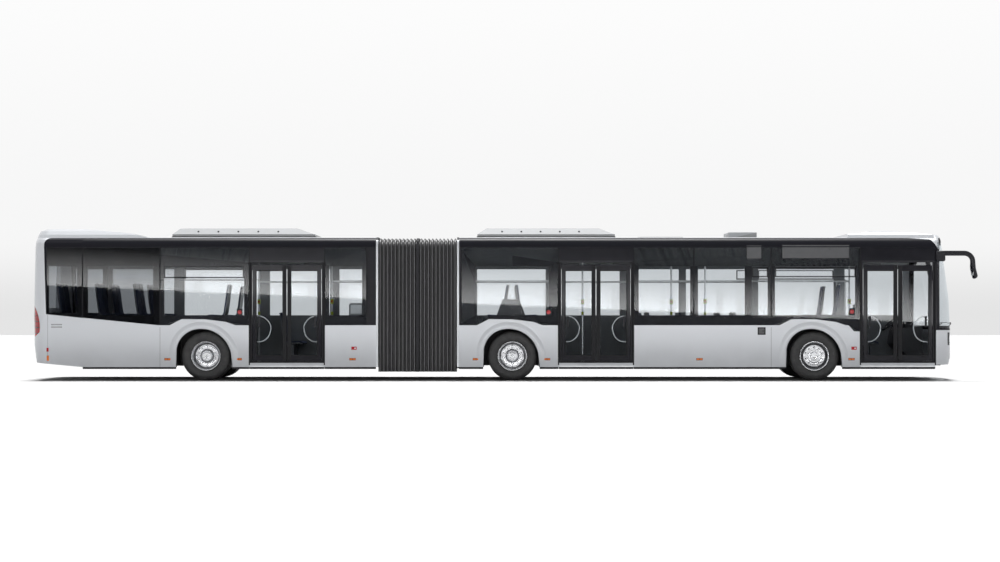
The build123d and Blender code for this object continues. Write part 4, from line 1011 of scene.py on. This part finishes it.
def seatInto(shells, pads, low, high, group):
    top = [p for p in group if p[2] > high.z - .001]
    facing = 1 if sum(p[0] for p in top) / len(top) < (low.x + high.x) / 2 else -1
    half = (high.y - low.y) / 2
    x = low.x + seat["backX"] if facing > 0 else high.x - seat["backX"]
    y, z = (low.y + high.y) / 2, high.z - seat["tall"]
    place = Matrix.Translation((x, y, z)) @ Matrix.Diagonal((facing, 1, 1, 1))
    for shape, mark, inset, front, thick in (
            (shells, "seatShell", 0, 0, seat["shellThick"]),
            (pads, "seatCloth", seat["padInset"], seat["padFront"], seat["padThick"])):
        points, faces = seatSheet(half, inset, front, thick)
        shape.add(points, faces if facing > 0 else [f[::-1] for f in faces], mark, place)
    shells.tube([place @ Vector(p) for p in seat["loop"]], seat["loopR"], "satinTube", 8)
    base = Vector((x, y, low.z))
    deep = z + seat["cushionFoot"] - low.z
    if deep > .05:  # a foot on the floor, else a plate on a box
        shells.slab(base + Vector((-.10, -.16, 0)), base + Vector((.10, .16, .02)), "blackTrim", .006)
        shells.slab(base + Vector((-.045, -.13, .02)), base + Vector((.045, .13, deep)), "seatShell", .012)
    else:
        shells.slab(base + Vector((-.12, -half + .03, 0)), base + Vector((.12, half - .03, max(.01, deep))),
                    "seatShell", .004)


def seatRow(car):
    shells, pads = Shape(), Shape()
    for low, high, group in islands(f"{car}_seats"):
        seatInto(shells, pads, low, high, group)
    shells.build(f"seat_shells_{car}", f"{car}_car", "seat_shell", 40, [f"{car}_seats"])
    pads.build(f"seat_pads_{car}", f"{car}_car", "seat_shell", 50)


for car in ("front", "rear"):
    seatRow(car)
print("seats built")

# Saloon: lamp strips and ducts under the roof, clamps, buttons and feet on the poles, a box by a window
saloon = dict(strip=(.42, .06, .25, .035), duct=(.93, .13, .15, .05),  # off centre, half width, end gap, drop
              poleTall=1.2, clamp=((.017, 1.28), (.026, 1.285), (.026, 1.345), (.017, 1.35)),
              foot=((.017, 0), (.040, .001), (.040, .012), (.017, .022)), buttonZ=(1.50, 1.60),
              box=((-3.024, -1.205, 1.225), (-2.716, -1.08, 1.510)),
              boxFace=((-2.99, -1.209, 1.30), (-2.75, -1.203, 1.48)))


def saloonTrim(car):
    x0, x1 = carX[f"{car}_car"]
    roofLow = min(v.co.z for v in nodes[f"{car}_roof"].data.vertices)
    shape = Shape()
    for name, mark, bevel in (("strip", "clearLens", .01), ("duct", "lining", .03)):
        off, half, gap, drop = saloon[name]
        for y in (-off, off):
            shape.slab((x0 + gap, y - half, roofLow - drop), (x1 - gap, y + half, roofLow + .002), mark,
                       bevel)
    for low, high, group in islands(f"{car}_rails"):
        if high.z - low.z > saloon["poleTall"]:
            x, y = (low.x + high.x) / 2, (low.y + high.y) / 2
            z0, z1 = saloon["buttonZ"]
            shape.lathe(saloon["clamp"], 16, "clampPlastic", Matrix.Translation((x, y, 0)))
            shape.slab((x - .030, y - .030, z0), (x + .030, y + .030, z1), "clampPlastic", .008)
            shape.slab((x - .016, y - .034, z0 + .03), (x + .016, y - .028, z1 - .03), "redLens", .002)
            shape.lathe(saloon["foot"], 16, "satinTube", Matrix.Translation((x, y, low.z)))
    if car == "rear":
        shape.slab(*saloon["box"], "lining", .03)
        shape.slab(*saloon["boxFace"], "unitPaint", .004)
    shape.build(f"saloon_trim_{car}", f"{car}_car", "cab_trim")


# Wheel cowl: a tapered cover on the wheel housing, low edge and high edge as x and y ranges, with heights
cowl = dict(low=((-.151, .434), (-1.205, -.90)), high=((-.03, .31), (-1.195, -.93)), z=(1.24, 1.575, 1.588))


def wheelCowl():
    shape = Shape()
    low, high = ([(x0, y0), (x1, y0), (x1, y1), (x0, y1)]
                 for (x0, x1), (y0, y1) in (cowl["low"], cowl["high"]))
    lid = [(x * .94 + .01, y * .98 - .02) for x, y in high]
    points = [(x, y, z) for loop, z in zip((low, high, lid), cowl["z"]) for x, y in loop]
    shape.add(points, ringFaces(3, 4) + [(8, 9, 10, 11), (3, 2, 1, 0)], "cabTrim")
    shape.build("wheel_cowl", "front_car", "cab_trim", 25)


for car in ("rear", "front"):
    saloonTrim(car)
wheelCowl()
print("saloon trimmed")

# Driver's place: desk with binnacle and keys, wheel with rim and spokes, sprung seat with pads, glazed screen
driver = dict(desk=((7.95, .70), (8.00, 1.01), (8.48, 1.06), (8.48, .342), (8.25, .342)),
              deskY=(.182, 1.178), binnacle=((8.02, .44, 1.02), (8.30, .88, 1.115)),
              dial=((8.035, .47, 1.045), (8.045, .85, 1.10)), counter=((8.10, .20, 1.02), (8.28, .40, 1.15)),
              key=((8.02, .96, 1.018), (8.05, .982, 1.03)), keys=6, keyPitch=.032,
              column=(8.06, .66, .96), lean=(-.62, 0, .78), columnLong=.2, columnR=.034,
              rimR=.222, tubeR=.016, steps=40, spokes=3, spokeR=.013,
              hub=((.0005, .02), (.045, .018), (.06, .004), (.06, -.012)),
              screenY=(.142, 1.198), screenZ=(.342, 1.28, 1.998), screenThick=.028,
              seat=((7.13, .44, .342), (7.65, .88, 1.34)), seatBack=.05,
              headrest=((7.16, .55, 1.36), (7.22, .77, 1.50)))


def driverDesk(shape):
    n = len(driver["desk"])
    points = [(x, y, z) for y in driver["deskY"] for x, z in driver["desk"]]
    ends = [tuple(range(n)), tuple(range(2 * n - 1, n - 1, -1))]
    shape.add(points, ends + [(k, n + k, n + (k + 1) % n, (k + 1) % n) for k in range(n)], "cabTrim")
    shape.slab(*driver["binnacle"], "blackTrim", .025)
    shape.slab(*driver["dial"], "signFace", .003)
    for k in range(driver["keys"]):
        shift = Matrix.Translation((0, driver["keyPitch"] * k, 0))
        shape.slab(*driver["key"], "blackTrim", .003, shift)
    shape.slab(*driver["counter"], "blackTrim", .02)


def driverWheel(shape):
    root, tilt = Vector(driver["column"]), Vector(driver["lean"]).normalized()
    hub = root + tilt * driver["columnLong"]
    side = Vector((0, 1, 0))
    fore = side.cross(tilt)

    def onRim(turn):
        return hub + driver["rimR"] * (side * math.cos(turn) + fore * math.sin(turn))

    shape.tube([root - tilt * .02, hub], driver["columnR"], "blackTrim", 14)
    ring = roundTurns(driver["steps"]) + [math.tau]
    shape.tube([onRim(turn) for turn in ring], driver["tubeR"], "blackTrim", 10)
    for turn in roundTurns(driver["spokes"], .375):
        shape.tube([hub, onRim(turn)], driver["spokeR"], "blackTrim", 8)
    facing = tilt.to_track_quat("Z", "Y").to_matrix().to_4x4()
    shape.lathe(driver["hub"], 24, "blackTrim", Matrix.Translation(hub) @ facing)


def driverScreen(shape, x):
    (y0, y1), (foot, sillZ, top), thick = driver["screenY"], driver["screenZ"], driver["screenThick"]
    shape.slab((x, y0, foot), (x + thick, y1, sillZ), "cabTrim", .006)
    shape.slab((x + .010, y0 + .008, sillZ), (x + .018, y1 - .008, top - .003), "paneBack", .002)
    for y in (y0, y1 - thick):
        shape.slab((x, y, sillZ), (x + thick, y + thick, top), "satinTube", .004)


def driverPlace():
    shape, pads = Shape(), Shape()
    driverDesk(shape)
    driverWheel(shape)
    driverScreen(shape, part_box("driver_place")[0].x)
    low, high = (Vector(corner) for corner in driver["seat"])
    shape.slab((low.x + .12, low.y + .06, low.z), (low.x + .42, high.y - .06, .44), "blackTrim", .02)
    shape.slab((low.x + .18, low.y + .14, .44), (low.x + .36, high.y - .14, .66), "rubberSeal", .03)
    seatInto(shape, pads, low, high, [(low.x, low.y, high.z), (low.x + driver["seatBack"], high.y, high.z)])
    pads.slab(*driver["headrest"], "seatCloth", .03)
    shape.build("driver_cab", "front_car", "cab_trim", 35, ["driver_place"])
    pads.build("driver_pads", "front_car", "seat_shell", 50)


driverPlace()
print("driver's place built")

# Front and rear faces: which way they look, how far out, crown across, set-back (m) by height (m)
frontFace = dict(way=1, tip=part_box("front_bumper")[1].x, crown=4.5,
                 rows=((.31, .035), (.45, 0), (1.08, 0), (1.6, .025), (2.05, .085), (2.6, .160)))
rearFace = dict(way=-1, tip=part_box("rear_end")[0].x, crown=14.0,
                rows=((.265, .07), (.70, .010), (1.25, 0), (2.6, .03)))


def onFace(face, y, z, proud=0.0):  # the point of an end face at y and z
    rows = face["rows"]
    back = rows[0][1] if z < rows[0][0] else rows[-1][1]
    for (z0, b0), (z1, b1) in zip(rows, rows[1:]):
        if z0 <= z <= z1:
            back = b0 + (b1 - b0) * (z - z0) / (z1 - z0)
    sag = face["crown"] - math.sqrt(face["crown"] ** 2 - y * y)
    return Vector((face["tip"] - face["way"] * (back + sag - proud), y, z))


def facePatch(shape, face, y0, y1, z0, z1, mark, proud, deep=.004, steps=8):  # a curved plate on an end face
    section = ((z0, -deep), (z0 + .003, proud), (z1 - .003, proud), (z1, -deep))
    points = [onFace(face, y0 + (y1 - y0) * k / steps, z, p) for k in range(steps + 1) for z, p in section]
    faces = [(a, d, c, b) for a, b, c, d in ringFaces(steps + 1, 4)]
    faces += [(0, 1, 2, 3), tuple(steps * 4 + a for a in (3, 2, 1, 0))]
    shape.add(points, faces if face["way"] > 0 else [f[::-1] for f in faces], mark)


def facePair(shape, face, y0, y1, *rest, steps):  # the same plate on both sides
    for side in (-1, 1):
        facePatch(shape, face, *sorted((side * y0, side * y1)), *rest, steps=steps)


# Front: grille, low lamps, line and blank sign, wipers parked at the foot of the screen, bowls in the lamps
nose = dict(grille=(-.62, .62, .385, .475), slats=3, slatHalf=.60, slatZ=(.398, .408), pitch=.026,
            lowLamp=(.70, .90, .40, .46), line=(-1.0, 1.0, .965, .985),
            sign=((8.475, -.98, 2.42), (8.505, .98, 2.64)))
wiper = dict(pivotsY=(-.22, .78), z=1.045, reach=-.80, rise=.10, bladeZ=1.115, bladeRise=.012,
             arm=(0, .25, .5, .62), blade=(.08, .35, .65, .95, 1.2), clip=(.010, 0, .004))
bowls = dict(places=((.80, .070), (.95, .070), (1.06, .045)), deep=.034)  # off centre, radius


def frontTrim():
    trim = Shape()
    facePatch(trim, frontFace, *nose["grille"], "blackTrim", .002)
    for k in range(nose["slats"]):
        z0, z1 = (z + nose["pitch"] * k for z in nose["slatZ"])
        facePatch(trim, frontFace, -nose["slatHalf"], nose["slatHalf"], z0, z1, "rubberSeal", .006)
    facePair(trim, frontFace, *nose["lowLamp"], "clearLens", .003, steps=4)
    facePatch(trim, frontFace, *nose["line"], "blackGloss", .002)
    trim.slab(*nose["sign"], "signFace", .004)
    trim.build("front_trim", "front_car", "black_trim")


def wipers():
    shape = Shape()
    clip = Vector(wiper["clip"])
    for y in wiper["pivotsY"]:
        pivot = onFace(frontFace, y, wiper["z"], .012)
        arm = [onFace(frontFace, y + wiper["reach"] * s, wiper["z"] + wiper["rise"] * s, .022)
               for s in wiper["arm"]]
        blade = [onFace(frontFace, y + wiper["reach"] * s, wiper["bladeZ"] + wiper["bladeRise"] * s, .010)
                 for s in wiper["blade"]]
        shape.tube([pivot - Vector((.03, 0, 0)), pivot + Vector((.012, 0, 0))], .022, "blackTrim", 14)
        shape.tube(arm, .010, "blackTrim", 8)
        shape.tube(blade, .007, "rubberSeal", 8)
        shape.tube([p + clip for p in blade], .005, "blackTrim", 6)
        shape.tube([arm[-1], blade[2] + clip], .009, "blackTrim", 8)
    shape.build("wipers", "front_car", "black_trim")


def lampBowls():
    shape = Shape()
    outer = [(f.center.copy(), f.normal.copy()) for f in nodes["headlamps"].data.polygons if f.normal.x > .3]
    low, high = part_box("headlamps")
    middle = (low.z + high.z) / 2
    for y, r in ((side * off, radius) for side in (-1, 1) for off, radius in bowls["places"]):
        c, n = min(outer, key=lambda face: abs(face[0].y - y) + abs(face[0].z - middle))
        back = Vector((c.x, y, middle)) - n * bowls["deep"]
        spot = Matrix.Translation(back) @ n.to_track_quat("Z", "Y").to_matrix().to_4x4()
        shape.lathe([(r, .026), (r * .93, .024), (r * .80, .010), (r * .5, .002), (r * .3, .001)], 28,
                    "polished", spot)
        shape.lathe([(r * .36, .002), (r * .34, .012), (r * .2, .018), (.0005, .020)], 20, "clearLens", spot)
    shape.build("lamp_bowls", "front_car", "lamp_glass", 40)


# Rear: hatch lines, strips and small lamps; vents, seam and markers on the corners
hatch = dict(half=.78, z=(.640, 1.136), line=.006, steps=8)
rearStrips = ((.85, .405, .47, "blackTrim", .004, 8), (.09, 1.155, 1.185, "blackTrim", .0005, 3),
              (.86, 2.36, 2.375, "rubberSeal", .001, 8))  # half width, heights, finish, proud, steps
rearLamps = dict(pairs=((.62, .72, .52, .585), (.80, .95, 2.46, 2.50)), middle=(-.22, .22, 2.46, 2.495))
rearCorner = dict(ventsZ=(1.034, 1.082), vent=(-8.820, -8.614), ventTall=.020, blade=(-8.812, -8.622),
                  bladeZ=(.006, .013), seam=(-8.893, -8.888, .37, 1.285),
                  red=(-8.915, -8.872, .565, .640), amber=(-8.910, -8.865, .385, .490))


def rearDetail():
    trim, lamps, sides = Shape(), Shape(), Shape()
    foot, top = hatch["z"]
    half, line, steps = hatch["half"], hatch["line"], hatch["steps"]
    for z in (foot, top - line):
        facePatch(trim, rearFace, -half, half, z, z + line, "seamShade", .0006, .002)
    for y in (-half, half):
        for k in range(steps):
            z0, z1 = (foot + (top - foot) * end / steps for end in (k, k + 1))
            facePatch(trim, rearFace, y - line / 2, y + line / 2, z0, z1, "seamShade", .0006, .002, 1)
    for reach, z0, z1, mark, proud, count in rearStrips:
        facePatch(trim, rearFace, -reach, reach, z0, z1, mark, proud, steps=count)
    for place in rearLamps["pairs"]:
        facePair(lamps, rearFace, *place, "redLens", .006, steps=2)
    facePatch(lamps, rearFace, *rearLamps["middle"], "redLens", .006, steps=4)
    for side in (-1, 1):
        for z in rearCorner["ventsZ"]:
            top = z + rearCorner["ventTall"]
            z0, z1 = (z + rise for rise in rearCorner["bladeZ"])
            sideSlab(sides, side, *rearCorner["vent"], z, top, "blackTrim", .0012, .002, .001)
            sideSlab(sides, side, *rearCorner["blade"], z0, z1, "satinTube", .0025, 0, .0008)
        sideSlab(sides, side, *rearCorner["seam"], "seamShade", .0004, .002, .0002)
        sideSlab(lamps, side, *rearCorner["red"], "redLens", .005, .004, .006)
        sideSlab(lamps, side, *rearCorner["amber"], "amberLens", .005, .004, .006)
    trim.build("rear_trim", "rear_car", "black_trim")
    lamps.build("rear_lamps_small", "rear_car", "tail_lamp")
    sides.build("rear_corner_vents", "rear_car", "black_trim")


frontTrim()
wipers()
lampBowls()
rearDetail()
print("front and rear detailed")

# Roof: gasket and fixings of the units, fan grilles, hatch frames
roofUnit = dict(gasket=.012, gasketTop=.026, bolts=5, boltFrom=.18, boltPitch=.14, skirt=.070, slope=.110,
                seamZ=(.060, .066), seamGap=.04, fanPitch=.64, fanDeep=.012, hatchLong=1.5,
                bolt=((.020, -.004), (.020, .004), (.015, .008), (.0005, .009)),
                ring=((.262, .001), (.262, .006), (.250, .006), (.250, .001)), rings=(.06, .12, .18, .225),
                arms=6, cap=((.05, .001), (.05, .009), (.0005, .010)))


def fanGrille(shape, spot):
    shape.lathe(roofUnit["ring"], 40, "blackTrim", spot)
    for r in roofUnit["rings"]:
        shape.lathe([(r + .004, .002), (r + .004, .006), (r - .004, .006), (r - .004, .002)], 36,
                    "blackTrim", spot)
    for turn in roundTurns(roofUnit["arms"]):
        shape.slab((.03, -.006, .002), (.255, .006, .007), "blackTrim", .001,
                   spot @ Matrix.Rotation(turn, 4, "Z"))
    shape.lathe(roofUnit["cap"], 24, "blackTrim", spot)


def roofDetail(car):
    shape = Shape()
    parts = islands(f"{car}_roof_unit")
    low, high = max(parts, key=lambda part: part[1].x - part[0].x)[:2]
    gasket, slope, gap = roofUnit["gasket"], roofUnit["slope"], roofUnit["seamGap"]
    rise = high.z - low.z - roofUnit["skirt"]
    shape.slab((low.x - gasket, low.y - gasket, low.z - .002),
               (high.x + gasket, high.y + gasket, low.z + roofUnit["gasketTop"]), "rubberSeal", .004)
    for side in (-1, 1):
        facing = Vector((0, side * rise, slope)).to_track_quat("Z", "Y").to_matrix().to_4x4()
        for k in range(roofUnit["bolts"]):
            x = low.x + (high.x - low.x) * (roofUnit["boltFrom"] + roofUnit["boltPitch"] * k)
            spot = Matrix.Translation((x, side * (high.y - slope * .45), high.z - rise * .55))
            shape.lathe(roofUnit["bolt"], 16, "blackTrim", spot @ facing)
        z0, z1 = (low.z + z for z in roofUnit["seamZ"])
        y = side * high.y
        shape.slab((low.x + gap, y - .003, z0), (high.x - gap, y + .003, z1), "seamShade", .001)
    rims = [f.center.x for f in nodes[f"{car}_roof_unit"].data.polygons
            if f.normal.z > .9 and high.z - .02 < f.center.z < high.z - .005]
    for k in (-1, 0, 1):
        x = (min(rims) + max(rims)) / 2 + roofUnit["fanPitch"] * k
        fanGrille(shape, Matrix.Translation((x, 0, high.z - roofUnit["fanDeep"])))
    for a, b, points in parts:
        if b.x - a.x < roofUnit["hatchLong"]:
            shape.slab((a.x - .01, a.y - .01, a.z - .002), (b.x + .01, b.y + .01, a.z + .012), "rubberSeal",
                       .003)
            shape.slab((a.x + .05, a.y + .05, b.z - .002), (b.x - .05, b.y - .05, b.z + .006), "unitPaint",
                       .005)
    shape.build(f"roof_fittings_{car}", f"{car}_car", "unit_paint")


for car in ("front", "rear"):
    roofDetail(car)

# Mirrors: a foot, a rounded horn in place of the plain arm, glass towards the driver
mirror = dict(arm=(.050, .033), head=(.054, .105), sides=20, bends=8, bend=.17, lean=.055, tip=.056,
              drop=.052, footTall=.210, armIn=.036, headIn=.108, swellFrom=4, swell=.25,
              neck=((.8, .30, .85), (.65, .36, 1)), headFoot=.05,  # share of the lean, drop, swell
              cap=((.020, .92), (.036, .72), (.046, .40), (.050, .02)))  # below the last ring, its share


def hornPath(foot, low, high):  # points along the horn, x and z, with how far it has swelled
    tipX, topZ = high.x - mirror["tip"], high.z - mirror["drop"]
    bend, lean, count, start = mirror["bend"], mirror["lean"], mirror["bends"], mirror["swellFrom"]
    path = [((foot - .02, topZ), 0), ((foot + (tipX - bend - foot) * .5, topZ), 0)]
    for k in range(count + 1):
        turn = math.pi / 2 * k / count
        x, z = tipX - lean - bend + bend * math.sin(turn), topZ - bend + bend * math.cos(turn)
        path.append(((x, z), mirror["swell"] * max(0, k - start) / (count - start)))
    path += [((tipX - lean * share, high.z - drop), swell) for share, drop, swell in mirror["neck"]]
    return path + [((tipX, low.z + mirror["headFoot"]), 1)]


def hornRings(path, armY, headY):  # oval rings square to the path, closed by a rounded cap
    rings = []
    for k, ((x, z), swell) in enumerate(path):
        (ax, az), (bx, bz) = path[max(k - 1, 0)][0], path[min(k + 1, len(path) - 1)][0]
        size = math.hypot(bx - ax, bz - az)
        across = Vector((-(bz - az) / size, 0, (bx - ax) / size))
        wide, deep = (arm + (head - arm) * swell for arm, head in zip(mirror["arm"], mirror["head"]))
        centre = Vector((x, armY + (headY - armY) * swell, z))
        rings.append([centre + across * wide * math.cos(turn) + Vector((0, deep * math.sin(turn), 0))
                      for turn in roundTurns(mirror["sides"])])
    last = rings[-1]
    centre = sum(last, Vector()) / len(last)
    return rings + [[centre + (p - centre) * share - Vector((0, 0, drop)) for p in last]
                    for drop, share in mirror["cap"]]


def mirrorPiece():
    shape = Shape()
    for low, high, group in islands("mirrors"):
        side = 1 if low.y > 0 else -1
        outer = side * max(abs(low.y), abs(high.y))
        foot = max(p[0] for p in group if p[2] < high.z - .18 and p[0] < low.x + .3)
        y0, y1 = sorted((side * (bodyHalf + .0005), outer - side * .004))
        footZ = high.z - mirror["footTall"]
        shape.slab((low.x + .004, y0, footZ), (foot, y1, high.z - .004), "blackTrim", .022)
        headY = outer - side * mirror["headIn"]
        rings = hornRings(hornPath(foot, low, high), outer - side * mirror["armIn"], headY)
        faces = [f[::-1] for f in ringFaces(len(rings), mirror["sides"])]
        shape.add([p for ring in rings for p in ring], faces, "blackGloss")
        back = high.x - mirror["tip"] - .058
        shape.slab((back, headY - .085, low.z + .06), (back + .013, headY + .085, high.z - .345),
                   "mirrorGlass", .010)
    shape.build("mirror_horns", "front_car", "black_trim", 40, ["mirrors"])


mirrorPiece()
print("roof and mirrors detailed")

# Camera: square to the right side, as far off as the perspective of the wheels says
view = dict(place=(-.073, -39.7, 1.26), lens=70.96, shift=.035)
camera = bpy.data.objects.new("camera", bpy.data.cameras.new("camera"))
camera.location = view["place"]
camera.rotation_euler = (math.pi / 2, 0, 0)
camera.data.lens = view["lens"]
camera.data.shift_y = view["shift"]
camera.data.clip_end = 500
bpy.context.scene.collection.objects.link(camera)
bpy.context.scene.camera = camera

# Stage: pale floor, a graded card between two dark flags for the glass to mirror, a sun and a front box
stage = dict(floorFar=90, floorNear=-110, floorHalf=190, floorColour=(.93, .93, .93), floorRough=.6,
             skyLow=.04, skyHigh=.16, backdrop=(.78, .78, .78), skyTop=(.985, .985, .985),
             sun=3.2, sunSpread=16, sunPlace=(0, 5.3, 30),
             fill=1250, fillPlace=(0, -30, 4.5), fillAim=(0, 0, 1.2), fillSize=(30, 5),
             cardY=-15.0, cardGlow=9.5, cardFade=1.35, cardLine=((-12.6, 2.10), (12.2, 1.05)), cardTall=1.08,
             flagTop=6, flagFoot=.02)


def stagePlane(name, corners, material):
    mesh = bpy.data.meshes.new(name)
    mesh.from_pydata(corners, [], [(0, 1, 2, 3)])
    mesh.uv_layers.new(name="spread").data.foreach_set("uv", [0, 0, 1, 0, 1, 1, 0, 1])
    mesh.materials.append(material)
    plane = bpy.data.objects.new(name, mesh)
    bpy.context.scene.collection.objects.link(plane)
    return plane


def glowing(name, glow):  # light from the front, brightest at the foot; the back lets everything through
    material = bpy.data.materials.new(name)
    material.use_nodes = True
    material.node_tree.nodes.remove(material.node_tree.nodes["Principled BSDF"])
    wire = Wire(material.node_tree)
    up = wire.node("SeparateXYZ", sockets={0: wire.node("TexCoord", out=2)}, out=1)
    power = wire.maths("POWER", 1 - up, stage["cardFade"]) * glow if glow else 0.0
    behind = wire.node("NewGeometry", out=6)
    wire.show(behind, wire.node("Emission", sockets={"Strength": power}), wire.node("BsdfTransparent"))
    return material


def stageFloor():
    paint, wire, sockets = makeFinish("stageFloor", {
        "Specular IOR Level": 0, "Roughness": stage["floorRough"]})
    pale = stage["floorColour"]
    wire.feed(sockets["Base Color"], wire.noise(.4, 3).mix(shade(pale, .985), shade(pale)))
    half, near, far = stage["floorHalf"], stage["floorNear"], stage["floorFar"]
    stagePlane("stage_floor", [(-half, near, 0), (half, near, 0), (half, far, 0), (-half, far, 0)], paint)


def stageCards():  # seen only as reflections
    (x0, z0), (x1, z1) = stage["cardLine"]
    y, tall, foot, top = stage["cardY"], stage["cardTall"], stage["flagFoot"], stage["flagTop"]
    for name, finish, glow, lows, highs in (
            ("stage_card", "cardGlow", stage["cardGlow"], (z0, z1), (z0 + tall, z1 + tall)),
            ("stage_flag", "flagDark", 0, (foot, foot), (z0, z1)),
            ("stage_flag_top", "flagDarkTop", 0, (z0 + tall, z1 + tall), (top, top))):
        corners = [(x1, y, lows[1]), (x0, y, lows[0]), (x0, y, highs[0]), (x1, y, highs[1])]
        plane = stagePlane(name, corners, glowing(finish, glow))
        plane.visible_camera = False
        plane.visible_diffuse = False
        plane.visible_shadow = False
        plane.visible_transmission = False
        plane.visible_volume_scatter = False


def stageSky():
    world = bpy.data.worlds.new("studio")
    bpy.context.scene.world = world
    world.use_nodes = True
    wire = Wire(world.node_tree)
    sockets = world.node_tree.nodes["Background"].inputs
    eye, glossy, passing = (wire.node("LightPath", out=k) for k in (0, 3, 6))  # kinds of ray
    up = wire.node("SeparateXYZ", sockets={0: wire.node("TexCoord", out=0)}, out=2)
    height = up.ramp(0, .04) * .7 + up.ramp(.03, .2) * .3
    wire.feed(sockets[0], height.mix(shade(stage["backdrop"]), shade(stage["skyTop"])))
    soft = up.ramp(.2, .9) * (stage["skyHigh"] - stage["skyLow"]) + stage["skyLow"]  # brightest overhead
    wire.feed(sockets[1], eye.most(glossy).most(passing).blend(soft, 1.0))


def stageLamp(name, kind, place, aim, power):
    lamp = bpy.data.objects.new(name, bpy.data.lights.new(name, kind))
    lamp.data.energy = power
    lamp.location = place
    lamp.rotation_euler = (Vector(aim) - Vector(place)).to_track_quat("-Z", "Y").to_euler()
    bpy.context.scene.collection.objects.link(lamp)
    return lamp.data


stageFloor()
stageCards()
stageSky()
sun = stageLamp("sky_light", "SUN", stage["sunPlace"], (0, 0, 0), stage["sun"])
sun.angle = math.radians(stage["sunSpread"])
box = stageLamp("box_front", "AREA", stage["fillPlace"], stage["fillAim"], stage["fill"])
box.shape = "RECTANGLE"
box.size, box.size_y = stage["fillSize"]
bpy.context.scene.view_settings.view_transform = "Standard"
print("stage lit")
